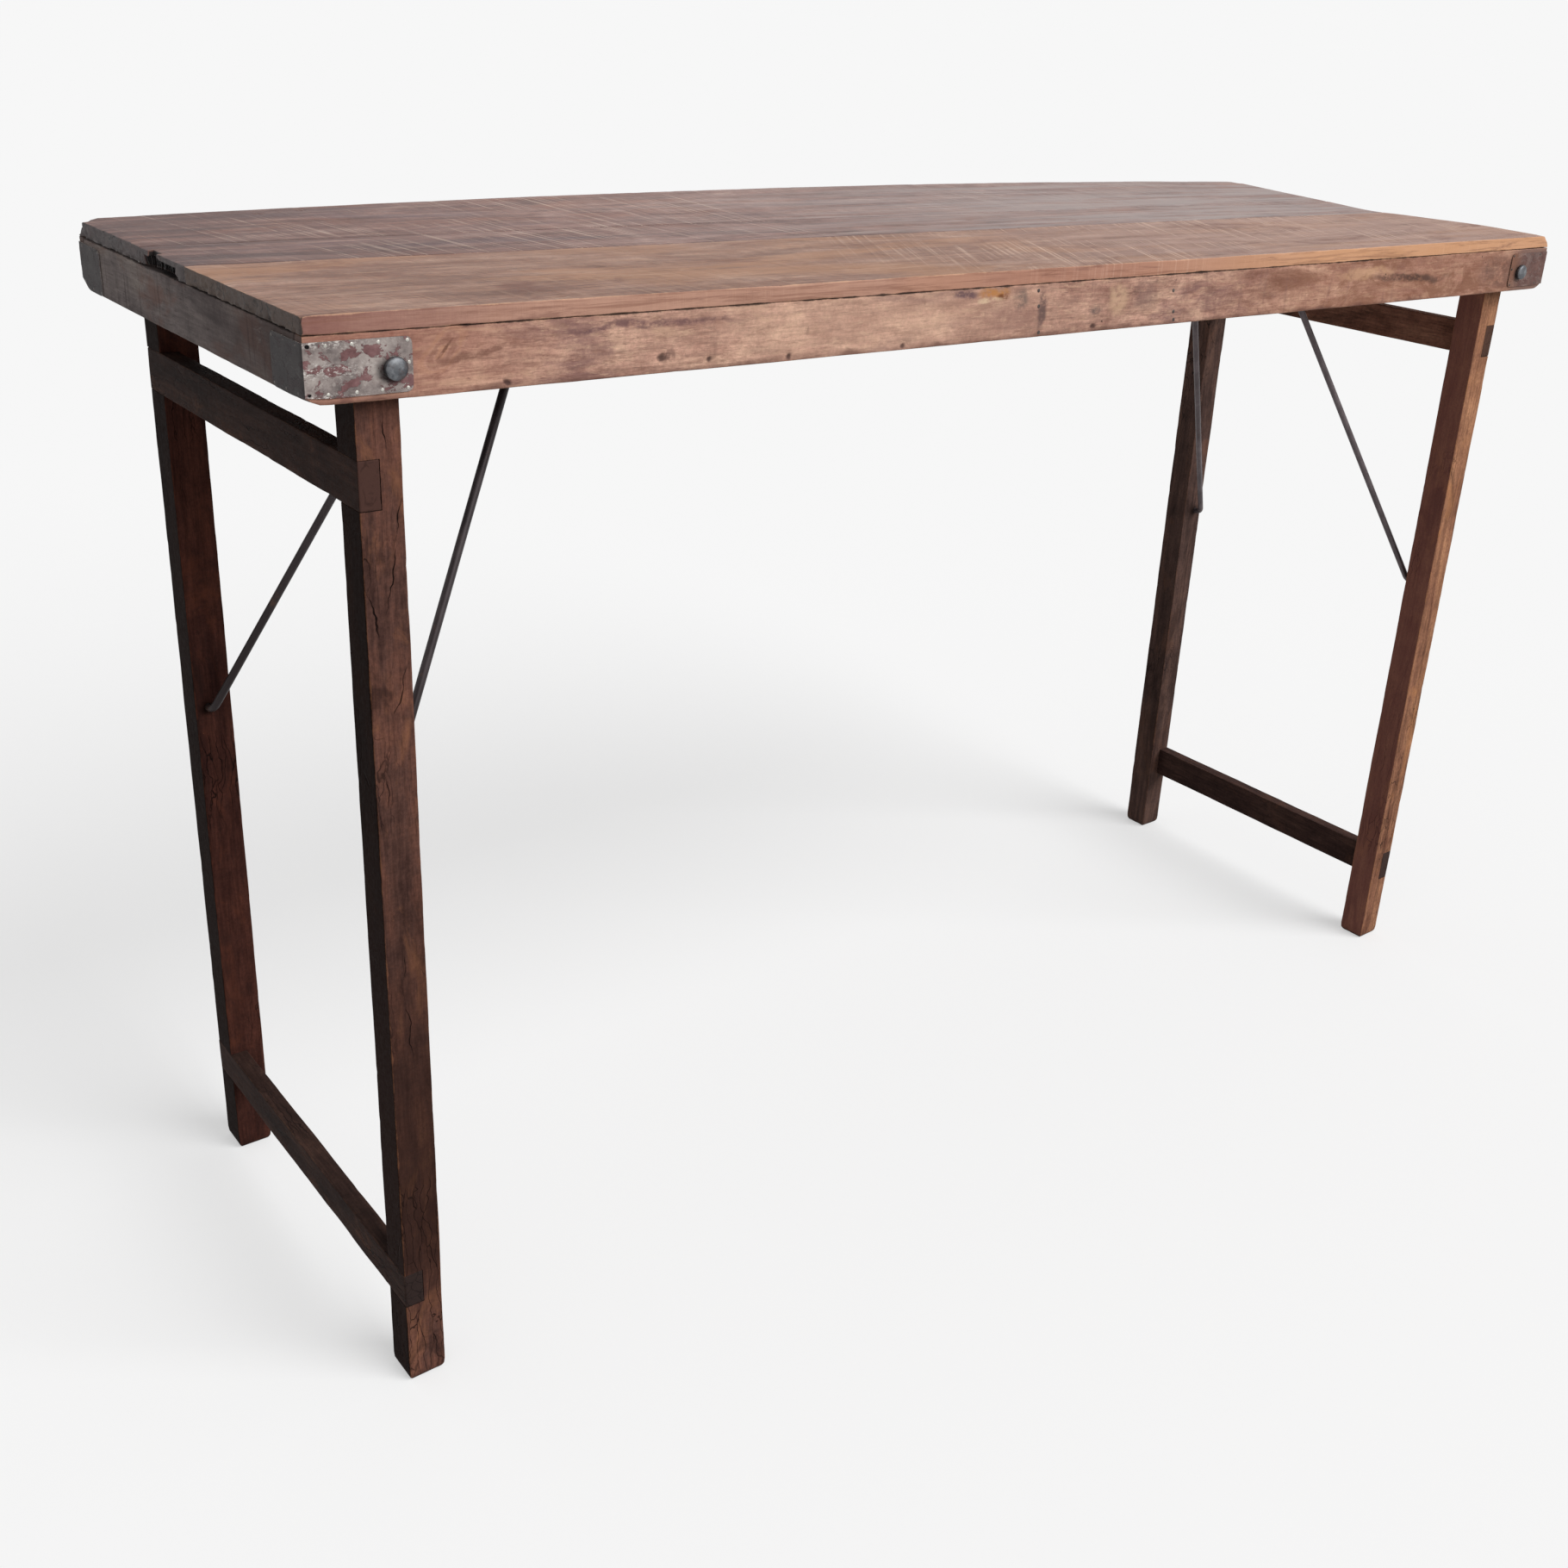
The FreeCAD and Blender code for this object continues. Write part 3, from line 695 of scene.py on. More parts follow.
def make_leg_wood(corner, tones, rubbed, rubbed_share, low_dirt, gloss, left_face=None, cracks=()):
    """Dark, oiled leg; the rubbed tone is where the finish has gone. A left face has a tone and its share.

    Cracks are in the front face: place along and up and half length in mm, and lean in radians.
    """
    face, side = corner.split("_")
    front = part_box(corner + "_leg")[0].y
    wood = Wood(corner + "_leg_wood", 2, tones, (5, 55), 0.24)
    wood.blotch(rubbed, rubbed_share, (34, 34, 14), 0.52, 0.68, 0.8)
    wood.blotch((40, 27, 25), 0.6, (26, 26, 9), 0.52, 0.66, 1.0)
    wood.blotch((192, 126, 82), 0.6, (120, 120, 70), 0.69, 0.75)
    wood.check((150, 150, 10), 0.9, 0.03)
    for x, z, half_length, lean in cracks:
        line = wood.spot((x * mm, front, z * mm), (0.55 * mm, 3 * mm, half_length * mm), (0, lean, 0), 0.7)
        wood.paint(line, (14, 9, 9), 0.95)
        wood.dig(line, 2.0)
    if left_face:
        wood.paint(wood.facing(0, -1), *left_face)
    wood.paint(wood.times(wood.along(2, 0.5, 0.2), wood.along(2, 0.02, 0.11)), (42, 27, 23), low_dirt)
    wood.wear(rubbed, 0.45, 0.9 * mm)
    # Painted shadow round the socket where the stay enters the leg's inner face.
    socket_shadow = wood.spot(joint_at[side + "_stay_swing"], (10 * mm, 1.0, 9 * mm), soft=0.9)
    wood.paint(wood.times(socket_shadow, wood.facing(1, -faces[face])), (12, 8, 7), 0.85)
    wood.end_grain((58, 44, 40))
    return wood.done(0.66, 0.35 * mm, gloss)


def make_rail_wood(name, tones, end_tone):
    wood = Wood(name, 1, tones, (6, 50), 0.26)
    wood.blotch((34, 25, 23), 0.6, (26, 9, 26))
    wood.blotch((116, 80, 64), 0.35, (40, 20, 40), 0.56, 0.7)
    wood.check((120, 9, 120), 0.8, 0.03)
    wood.wear((112, 84, 70), 0.4, 0.7 * mm)
    wood.end_grain(end_tone, 0.9, 0.25)
    return wood.done(0.66, 0.3 * mm, 0.03)


def make_stay_iron():
    """Dark rods; the left one is darkened as painted shade, most of all towards its feet."""
    iron = Finish("stay_iron")
    cloud = iron.noise((70, 70, 30), 5)
    iron.colour = iron.ramp(cloud, (0.3, 0.52, 0.72), [(72, 64, 66), (100, 90, 92), (126, 115, 117)])
    # Painted shade: the left rod darker, and darker still towards its feet.
    left = iron.along(0, 0.1, -0.1)
    iron.paint(left, (34, 27, 29), 0.7)
    iron.paint(iron.times(left, iron.along(2, 0.6, 0.44)), (28, 19, 19), 0.75)
    iron.paint(iron.patches((40, 40, 26), 0.58, 0.7, 5, 0.7), (92, 66, 54), 0.5)
    return iron.finish(iron.ease(cloud, 0.3, 0.7, 0.36, 0.52), 0.3, cloud, 0.02 * mm, 0.35)


# Where most paint is left on the front left plate: from the end, up from its edge and half sizes, in mm
paint_patches = [(26, 25, 9, 4.5), (40, 25, 6, 4.5), (9, 7, 10, 6), (26, 8, 7, 3.5), (35, 10, 4.5, 4),
                 (43, 4.5, 4, 1.6), (3, 21, 5, 3), (16, 17, 15, 4)]
empty_nail_holes = [(-611.3, 746.0), (-612.1, 719.3)]
plate_low, plate_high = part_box("front_left_corner_plate")


def make_plate_tin(side, bare, paint_tones, paint_from, end_shade_share, flecked, patches=(), rusty_edge=0.0):
    """Sheet metal: clouded bare tin, what is left of its paint, end faces darkened as painted shade, pale flecks
    that are partly scraped and partly painted highlight, and painted shadow and dirt by the bolt.
    """
    tin = Finish(side + "_plate_tin")
    fine = tin.noise(420, 4, 0.7)
    tin.colour = tin.ramp(tin.noise(48, 8, 0.72), (0.34, 0.5, 0.66), bare)
    tin.paint(tin.ease(fine, 0.54, 0.7), bare[2], 0.5)
    flakes = tin.patches((85, 85, 120), 0.28, 0.72, 9, 0.7, 0.4)
    for inside, above, half_width, half_height in patches:
        centre = (inside * mm - table_end, -table_side, plate_low.z + above * mm)
        thick = tin.spot(centre, (half_width * mm, 8 * mm, half_height * mm), soft=0.7)
        flakes = tin.plus(flakes, tin.times(thick, 0.34))
    paint = tin.ease(flakes, paint_from, paint_from + 0.06)
    tin.paint(paint, tin.ramp(tin.noise(130, 5, 0.7), (0.3, 0.55, 0.75), paint_tones))
    tin.paint(tin.patches(36, 0.58, 0.72, 6, 0.7), (88, 64, 54), 0.55)
    tin.paint(tin.along(0, table_end - 36 * mm, table_end - 56 * mm), (136, 96, 76), rusty_edge)
    height = tin.axis_of(tin.wobbly, 2)
    # Pale flecks near the left end along the sheet's edges and crease: partly scraped bare metal, partly painted
    # highlight.
    from_crease = tin.math("ABSOLUTE", tin.plus(height, -(apron_low.z + 20 * mm)))
    scraped_and_gleaming = tin.either(tin.ease(from_crease, 6 * mm, 1 * mm),
                         tin.ease(height, plate_low.z + 4 * mm, plate_low.z),
                         tin.ease(height, plate_high.z - 4 * mm, plate_high.z))
    scraped_and_gleaming = tin.times(scraped_and_gleaming, tin.along(0, 50 * mm - table_end, 10 * mm - table_end))
    tin.paint(tin.times(scraped_and_gleaming, tin.patches((420, 420, 900), 0.52, 0.58, 4, 0.75)), (220, 214, 208), flecked)
    # Painted shade: the end faces of the sheet darker.
    ends = tin.either(tin.facing(0, 1), tin.facing(0, -1))
    tin.paint(ends, (72, 69, 70), end_shade_share)
    # Painted shadow and dirt beside each pivot bolt.
    pivot = joint_at[side + "_leg_fold"]
    for facing in faces.values():
        bolt_shadow_and_dirt = (pivot.x - 3 * mm, facing * table_side, pivot.z - 1 * mm)
        tin.paint(tin.spot(bolt_shadow_and_dirt, (11 * mm, 4 * mm, 10 * mm), soft=0.6), (44, 39, 39), 0.85)
    for x, z in empty_nail_holes:
        hole = tin.spot((x * mm, -table_side, z * mm), (1.5 * mm, 3 * mm, 1.5 * mm), soft=0.3)
        tin.paint(hole, (16, 13, 13))
    dull = tin.either(paint, ends)
    relief = tin.plus(tin.times(paint, 0.7), tin.times(fine, 0.4))
    metallic = tin.ease(dull, 0, 1, 0.45, 0)
    return tin.finish(tin.ease(dull, 0, 1, 0.5, 0.68), 0.15, relief, 0.2 * mm, metallic)


def make_steel(name, tones, rust_share, metallic, spots):
    """Tarnished steel with rust in patches."""
    steel = Finish(name)
    cloud = steel.noise(spots, 6, 0.68)
    steel.colour = steel.ramp(cloud, (0.32, 0.5, 0.68), tones)
    steel.paint(steel.patches(0.7 * spots, 0.56, 0.68, 5, 0.7), (84, 62, 52), rust_share)
    return steel.finish(steel.ease(cloud, 0.3, 0.7, 0.34, 0.55), 0.4, cloud, 0.2 * mm, metallic)


front_plank_wood = make_front_plank_wood()
grey_plank_wood = make_grey_plank_wood()
side_apron_wood = make_side_apron_wood()
end_apron_wood = make_end_apron_wood()
batten_wood = make_batten_wood()
left_rail_tones = [(42, 30, 27), (56, 41, 37), (74, 54, 47)]
right_rail_tones = [(106, 70, 57), (138, 95, 78), (160, 115, 94)]
right_stretcher_tones = [(46, 33, 31), (64, 46, 42), (82, 60, 53)]
rail_woods = {
    "left_upper_rail": make_rail_wood("left_rail_wood", left_rail_tones, (80, 56, 50)),
    "left_stretcher": make_rail_wood("left_stretcher_wood", left_rail_tones, (50, 40, 38)),
    "right_upper_rail": make_rail_wood("right_rail_wood", right_rail_tones, (78, 58, 50)),
    "right_stretcher": make_rail_wood("right_stretcher_wood", right_stretcher_tones, (64, 50, 46)),
}
leg_cracks = [(-560, 640, 24, 0.14), (-565, 605, 30, 0.26), (-577, 580, 18, -0.08), (-563, 532, 22, 0.27),
              (-576, 465, 17, -0.05), (-570, 342, 26, 0.13), (-571, 292, 27, -0.06), (-566, 695, 14, 0.02)]
leg_woods = {
    "front_left": make_leg_wood(
        "front_left", [(60, 41, 37), (86, 60, 53), (106, 71, 60), (128, 87, 69)], (146, 98, 72), 0.6,
        low_dirt=0.75, gloss=0.02, left_face=((22, 13, 11), 0.95), cracks=leg_cracks),
    "front_right": make_leg_wood(
        "front_right", [(110, 72, 56), (140, 97, 76), (158, 112, 86), (182, 132, 100)], (194, 134, 88), 0.45,
        low_dirt=0.1, gloss=0.04, left_face=((138, 87, 82), 0.6)),
    "back_left": make_leg_wood(
        "back_left", [(48, 28, 25), (68, 40, 34), (86, 51, 42)], (108, 61, 45), 0.4,
        low_dirt=0.1, gloss=0.02, left_face=((22, 15, 13), 0.92)),
    "back_right": make_leg_wood(
        "back_right", [(62, 47, 43), (88, 67, 61), (112, 85, 74)], (126, 88, 70), 0.35,
        low_dirt=0.2, gloss=0.06),
}
stay_iron = make_stay_iron()
plate_tins = {
    "left": make_plate_tin(
        "left", [(102, 93, 91), (144, 133, 129), (176, 166, 160)],
        [(100, 70, 70), (128, 94, 94), (148, 116, 114)],
        paint_from=0.68, end_shade_share=0.9, flecked=0.8, patches=paint_patches),
    "right": make_plate_tin(
        "right", [(96, 76, 71), (120, 96, 90), (140, 114, 105)],
        [(92, 66, 62), (112, 84, 78), (130, 100, 92)],
        paint_from=0.5, end_shade_share=0.4, flecked=0.1, rusty_edge=0.7),
}
bolt_steel = make_steel("bolt_steel", [(58, 59, 63), (92, 94, 98), (128, 130, 133)], 0.4, 0.7, 150)
nail_steel = make_steel("nail_steel", [(126, 122, 116), (186, 182, 174), (214, 210, 204)], 0.2, 0.6, 300)
old_nail_steel = make_steel("old_nail_steel", [(48, 40, 38), (76, 66, 62), (128, 118, 110)], 0.5, 0.4, 260)


# Planks of the top: straight blocks, worn, then laid along their seams and warped like their nodes

plank_steps = (5.0 * mm, 3.2 * mm, 3.0 * mm)
plank_arris = 0.8 * mm
plank_dents = 0.35 * mm
plank_chips = 2.5
end_tears = {-1: 2.2 * mm, 1: 0.3 * mm}
end_drops = {-1: 0.5 * mm, 1: 2.6 * mm}
tear_reach = 5 * mm
drop_reach = 4.5 * mm
corner_drop_share = 0.3
hole_lines = np.array([-1.5, -0.8, 0, 0.8, 1.5])

# Soft S across the right end of the top: rise, middle and reach of a crown on the front plank and of a dip
sag_start = 250 * mm
sag_waves = [(1.2 * mm, -125 * mm, 50 * mm), (-1.5 * mm, 12 * mm, 36 * mm)]


def end_points(node, x_end):
    """Corners of a node's mesh at one end of the table."""
    places = [vertex.co for vertex in frame["nodes"][node].data.vertices]
    return [place for place in places if abs(place.x - x_end) < 1 * mm]


seam_left = min(place.y for place in end_points("middle_plank", -table_end))
seam_right = min(place.y for place in end_points("middle_plank", table_end))
rear_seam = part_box("rear_plank")[0].y
seam_gap = rear_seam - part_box("middle_plank")[1].y
left_lift = max(place.z for place in end_points("rear_plank", -table_end)) - table_height
right_lift = max(place.z for place in end_points("rear_plank", table_end)) - table_height
middle_lift = 11 * mm
seam_lift_share = 0.2


def front_seam(x):
    return seam_left + (seam_right - seam_left) * (x + table_end) / (2 * table_end)


def edge_lift(x):
    """Rise of the back edge: a bow through its two ends and its middle."""
    along = x / table_end
    tilt = (right_lift - left_lift) / 2
    bow = (left_lift + right_lift) / 2 - middle_lift
    return middle_lift + tilt * along + bow * along ** 2


def end_sag(x, y):
    """Rise and fall across the right end of the top, which fade out towards the left."""
    near = np.clip((x - sag_start) / (table_end - sag_start), 0, 1)
    near = near ** 2 * (3 - 2 * near)
    return near * sum(rise * np.exp(-((y - middle) / reach) ** 2) for rise, middle, reach in sag_waves)


def round_corner(points, corner_x, corner_y, inward_y, radius):
    """Round a plank's corner, more at its upper face than at its lower one."""
    inward_x = -math.copysign(1, corner_x)
    across = np.clip(1 - (points[:, 0] - corner_x) * inward_x / radius, 0, 1)
    along = np.clip(1 - (points[:, 1] - corner_y) * inward_y / radius, 0, 1)
    height = (points[:, 2] - apron_top) / plank_thickness
    to_arc = 1 - np.maximum(across, along) / np.maximum(np.hypot(across, along), tiny)
    pull = radius * to_arc * height ** 2
    points[:, 0] += inward_x * pull * across
    points[:, 1] += inward_y * pull * along
    points[:, 2] -= corner_drop_share * radius * across * along * height


def lay_plank(node, finish, seed, edges, lifts, holes, lines=((), ()), empty=None, corners=(), sound_top=0.5):
    """Worn plank between two edges, which rise by shares of the back edge's lift.

    Holes are small pits in its top: place, half sizes and depth, in mm. Corners are rounded: each is the end,
    the edge from 0 at the front to 1 at the back, and a radius. The sound share of the top keeps the end's
    upper arris straight where its lower part is torn.
    """
    front_edge, back_edge = edges
    width = back_edge(0) - front_edge(0)
    lines_x, lines_y = [list(extra) for extra in lines]
    holes = np.array(holes) * mm
    for x, y, half_x, half_y, _ in holes:
        across = (y - front_edge(x)) / (back_edge(x) - front_edge(x)) * width
        lines_x += list(x + half_x * hole_lines)
        lines_y += list(across + half_y * hole_lines)
    block = Block((-table_end, 0, apron_top), (table_end, width, table_height), plank_steps, plank_arris,
                  seed, plank_dents, plank_chips, (lines_x, lines_y, ()), empty)
    points = block.points
    for end in (-1, 1):
        inside = table_end - end * points[:, 0]
        torn = np.clip(0.4 + 0.9 * rough(points * (0, 1, 1), (1, 130, 300), seed + 3, 4), 0, 1.3)
        height = (points[:, 2] - apron_top) / plank_thickness
        points[:, 0] -= end * end_tears[end] * torn * np.exp(-inside / tear_reach) * (1 - sound_top * height)
        rounding = np.exp(-(inside / drop_reach) ** 2) * height
        points[:, 2] -= end_drops[end] * rounding * (1 + 0.5 * rough(points, 60, seed + 4))
    for end, edge, radius in corners:
        round_corner(points, end * table_end, edge * width, 1 - 2 * edge, radius)
    x = points[:, 0].copy()
    across = points[:, 1] / width
    points[:, 1] = front_edge(x) + (back_edge(x) - front_edge(x)) * across
    points[:, 2] += edge_lift(x) * (lifts[0] + (lifts[1] - lifts[0]) * across) + end_sag(x, points[:, 1])
    for hole_x, hole_y, half_x, half_y, depth in holes:
        block.press(2, 1, (hole_x, hole_y), (half_x, half_y), depth)
    add_piece("worn_" + node, block, finish, node)


def rot_pocket(x, y, z):
    """Cells that have rotted out of the middle plank's left end, under a thin ragged roof."""
    aside = y + seam_left - rot_middle
    inside = np.clip(1 - (aside / rot_half_width) ** 4, 0, 1)
    fibres = 0.5 + 0.5 * np.sin(y * 2900) * np.sin(y * 1170 + 1)
    depth = (5 + 3.5 * fibres) * mm * inside
    bitten = (aside > 5 * mm) & (aside < 20 * mm) & (x + table_end < 4 * mm)
    roof = np.where(bitten, table_height, table_height - (3.4 + 1.4 * fibres) * mm)
    return (x + table_end < depth) & (z < roof)


pocket_lines = (np.arange(0, 17, 1.0) * mm - table_end, np.arange(14, 72, 1.5) * mm)
lay_plank("front_plank", front_plank_wood, 1,
          (lambda x: -table_side, lambda x: front_seam(x) - seam_gap), (0, 0),
          [(-200, -150, 4, 2, 0.5), (330, -90, 3, 2, 0.5)],
          corners=[(-1, 0, 3 * mm), (1, 0, 10 * mm)], sound_top=0.9)
lay_plank("middle_plank", grey_plank_wood, 2,
          (front_seam, lambda x: rear_seam - seam_gap), (0, seam_lift_share),
          [(174.7, 14.4, 3, 1.6, 2.5), (69, 33, 4, 2, 0.8)], pocket_lines, rot_pocket)
lay_plank("rear_plank", grey_plank_wood, 3,
          (lambda x: rear_seam, lambda x: table_side), (seam_lift_share, 1),
          [(381.6, 68.5, 8, 1.7, 4), (508.5, 180, 3.5, 2, 1.5), (532.1, 174, 3, 2, 1.5),
           (-496, 174, 4, 2.5, 1.2), (-461.7, 180, 3, 2, 1.2), (283.3, 106.5, 3, 1.8, 0.8)],
          corners=[(-1, 1, 12 * mm), (1, 1, 14 * mm)])


# Apron boards, battens and rails

long_steps = (5.0 * mm, 2.5 * mm, 3.0 * mm)
cross_steps = (2.5 * mm, 5.0 * mm, 3.0 * mm)
batten_steps = (4.5 * mm, 6.0 * mm, 3.0 * mm)
rail_steps = (3.0 * mm, 5.0 * mm, 3.0 * mm)
apron_arris = 1.0 * mm
batten_arris = 0.9 * mm
rail_arris = 1.1 * mm
board_dents = 0.3 * mm
board_chips = 1.2
pit_lines = np.array([-4, -2, 0, 2, 4]) * mm
pit_size = (3 * mm, 2.2 * mm)
pit_depth = 1.4 * mm
end_arris_rise = 3.5 * mm
end_arris_reach = 4 * mm
end_arris_height = 6 * mm
corner_wear = {"front": 1.0 * mm, "back": 7.0 * mm}
corner_reach = 9 * mm


def fit_under_planks(block):
    """Bring the top of a board up to the warped undersides of the planks above it."""
    x, y, z = block.points.T
    behind = np.clip((y - rear_seam) / (table_side - rear_seam), 0, 1)
    beside = np.clip((y - front_seam(x)) / (rear_seam - front_seam(x)), 0, 1)
    lift = edge_lift(x) * np.where(y > rear_seam, seam_lift_share + (1 - seam_lift_share) * behind,
                                   seam_lift_share * beside)
    level = block.straight[:, 2]
    z += lift * (level - level.min()) / (apron_top - level.min())


def corner_lift(x, y, z):
    """Rise of the apron's lower corners and of what is on them, where they have worn round."""
    beside = (table_end - np.abs(x)) ** 2 + (table_side - np.abs(y)) ** 2
    above = z - apron_low.z
    wear = np.where(y > 0, corner_wear["back"], corner_wear["front"])
    return wear * np.exp(-beside / corner_reach ** 2 - (above / (2 * corner_reach)) ** 2)


def lay_board(node, finish, steps, arris, seed, fitted=True, pits=(), worn_corners=False):
    """Worn board in the place of its node, fitted under the planks; pits are hollows in its front face."""
    low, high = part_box(node)
    top = apron_top if fitted else high.z
    lines = [line for x, _ in pits for line in x * mm + pit_lines]
    block = Block(low, (high.x, high.y, top), steps, arris, seed, board_dents, board_chips, (lines, (), ()))
    for x, z in pits:
        block.press(1, -1, (x * mm, z * mm), pit_size, pit_depth)
    if fitted:
        fit_under_planks(block)
    if worn_corners:
        x, y, z = block.points.T
        beside = (table_end - np.abs(x)) / end_arris_reach
        above = (z - low.z) / end_arris_height
        z += end_arris_rise * np.exp(-beside ** 2 - above ** 2)
        z += corner_lift(x, y, z)
    add_piece("worn_" + node, block, finish, node)


lay_board("front_apron", side_apron_wood, long_steps, apron_arris, 11, pits=apron_pits, worn_corners=True)
lay_board("back_apron", side_apron_wood, long_steps, apron_arris, 12, worn_corners=True)
lay_board("left_end_apron", end_apron_wood, cross_steps, apron_arris, 13, worn_corners=True)
lay_board("right_end_apron", end_apron_wood, cross_steps, apron_arris, 14, worn_corners=True)
battens = ["left_middle_batten", "right_middle_batten", "left_keeper_batten", "right_keeper_batten"]
for seed, node in enumerate(battens, 20):
    lay_board(node, batten_wood, batten_steps, batten_arris, seed)
for seed, (node, finish) in enumerate(rail_woods.items(), 30):
    lay_board(node, finish, rail_steps, rail_arris, seed, False)


# Legs: square, with round heads on the pivot bolts and housings for the rails

leg_steps = (2.2 * mm, 2.2 * mm, 4.5 * mm)
leg_arris = 1.2 * mm
head_line_count = 9
foot_wear = 2.6 * mm
foot_height = 6.0 * mm


def lay_leg(corner, seed):
    """Worn leg in the place of its node."""
    node = corner + "_leg"
    side = corner.split("_")[1]
    inward = sides[side]
    low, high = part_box(node)
    rails = [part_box(side + "_upper_rail"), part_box(side + "_stretcher")]
    rail_inner = rails[0][1].x if inward > 0 else rails[0][0].x

    def housing(x, y, z):
        beside = (x - rail_inner) * inward < 0
        return beside & sum((z > bottom.z) & (z < top.z) for bottom, top in rails).astype(bool)

    head_radius = (high.x - low.x) / 2
    head_lines = np.linspace(high.z - head_radius, high.z, head_line_count)
    rail_lines = [level for bottom, top in rails for level in (bottom.z, top.z)]
    block = Block(low, high, leg_steps, leg_arris, seed, board_dents, board_chips,
                  ([rail_inner], (), [*head_lines, *rail_lines]), housing)
    points = block.points
    middle = (low + high) / 2
    above = np.clip(points[:, 2] - (high.z - head_radius), 0, None)
    room = np.sqrt(np.clip(head_radius ** 2 - above ** 2, 0, None)) / head_radius
    points[:, 0] = middle.x + (points[:, 0] - middle.x) * room
    foot = np.clip(1 - (points[:, 2] - low.z) / foot_height, 0, 1) ** 2
    for axis in (0, 1):
        half = (high[axis] - low[axis]) / 2
        points[:, axis] -= (points[:, axis] - middle[axis]) * foot * foot_wear / half
    add_piece("worn_" + node, block, leg_woods[corner], node)


for seed, corner in enumerate(table_corners, 40):
    lay_leg(corner, seed)


# Stays: round rods bent to a tapered U, with forged corners

stay_top_half_width = 53 * mm
stay_end_inset = 9 * mm
stay_bend_radius = 9 * mm
stay_corner_radius = 8 * mm
rod_sides = 16
bend_rings = 8
ring_spacing = 6 * mm
hammer_depth = 0.02
hammer_scale = 25


def stay_bar(side):
    """Radius of a stay's rod, and the middle of its cross bar."""
    low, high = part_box(side + "_stay")
    hole = joint_at[side + "_stay_swing"]
    radius = hole.x - low.x if sides[side] > 0 else high.x - hole.x
    bar_x = high.x - radius if sides[side] > 0 else low.x + radius
    return radius, Vector((bar_x, (low.y + high.y) / 2, high.z - radius))


def rounded_route(corners, radii):
    """Points along a route with its corners rounded."""
    route = [corners[0]]
    for before, corner, after, radius in zip(corners, corners[1:], corners[2:], radii):
        back = (before - corner).normalized()
        ahead = (after - corner).normalized()
        half = back.angle(ahead) / 2
        setback = radius / math.tan(half)
        centre = corner + (back + ahead).normalized() * (radius / math.sin(half))
        start, end = corner + back * setback - centre, corner + ahead * setback - centre
        for step in range(bend_rings + 1):
            route.append(centre + start.slerp(end, step / bend_rings) * radius)
    route.append(corners[-1])
    return route


def spread(route):
    """The route with more points along its long runs."""
    points = []
    for start, end in zip(route, route[1:]):
        count = max(1, round((end - start).length / ring_spacing))
        points += [start.lerp(end, step / count) for step in range(count)]
    return points + [route[-1]]


def rod_points(route, radius, seed):
    """Rings of points of a round rod along a route, a little uneven from the hammer."""
    points = []
    side = Vector((0, 0, 1))
    for number, place in enumerate(route):
        ahead = (route[min(number + 1, len(route) - 1)] - route[max(number - 1, 0)]).normalized()
        side = (side - ahead * side.dot(ahead)).normalized()
        up = ahead.cross(side)
        for step in range(rod_sides):
            angle = 2 * math.pi * step / rod_sides
            out = side * math.cos(angle) + up * math.sin(angle)
            blow = noise.noise(place * hammer_scale + out * 0.5 + Vector((seed, 0, 0)))
            points.append(place + out * radius * (1 - hammer_depth * abs(blow)))
    return np.array(points)


def lay_stay(side, seed):
    node = side + "_stay"
    low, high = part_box(node)
    hole = joint_at[node + "_swing"]
    radius, bar = stay_bar(side)
    tip_half = (high.y - low.y) / 2
    elbow_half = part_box("back_" + side + "_leg")[0].y - bar.y - stay_end_inset
    corners = []
    for hand in (-1, 1):
        tip = Vector((hole.x, bar.y + hand * tip_half, hole.z))
        elbow = Vector((hole.x, bar.y + hand * elbow_half, hole.z))
        top = bar + Vector((0, hand * stay_top_half_width, 0))
        corners += [tip, elbow, top] if hand < 0 else [top, elbow, tip]
    radii = [stay_bend_radius, stay_corner_radius, stay_corner_radius, stay_bend_radius]
    route = spread(rounded_route(corners, radii))
    rod = Heap()
    rod.add(rod_points(route, radius, seed), ring_quads(len(route), rod_sides))
    add_piece("forged_" + node, rod, stay_iron, node)


lay_stay("left", 3)
lay_stay("right", 8)


# Corner plates: thin sheets bent round the corners, dented, and nailed along their edges

sheet_thickness = 0.5 * mm
sheet_steps = (1.6 * mm, 0.4 * mm, 1.6 * mm)
sheet_bend_radius = 1.6 * mm
sheet_clear = 0.02 * mm
sheet_corner = 4.0 * mm
mean_crumple = 0.12 * mm
deepest_crumple = 0.3 * mm
crease_depth = 0.25 * mm
crease_drop = 2.5 * mm
crease_reach = 0.9 * mm
nail_radius = 1.15 * mm
nail_height = 0.35 * mm
nail_margin = 2.2 * mm
nail_sunk = 0.15 * mm
end_nail_sunk = 0.35 * mm
nail_sides = 12
nail_stray = 3 * mm
first_nail = 14 * mm
last_nail_margin = 2.5 * mm
first_end_nail = 8 * mm
last_end_nail_margin = 1 * mm
nail_counts = {"left": 4, "right": 2}
end_nail_count = 3
dome_rings = 5
dome_skirt = 0.4 * mm
bright_nails, dark_nails = Heap(), Heap()


def dome(radius, height):
    """Profile of a domed head, from its rim to its crown, with a short skirt sunk behind it."""
    profile = [(radius * 0.9, -dome_skirt), (radius, 0.0)]
    for ring in range(1, dome_rings + 1):
        angle = math.pi / 2 * ring / dome_rings
        profile.append((max(radius * math.cos(angle), 0.04 * radius), height * math.sin(angle)))
    return profile


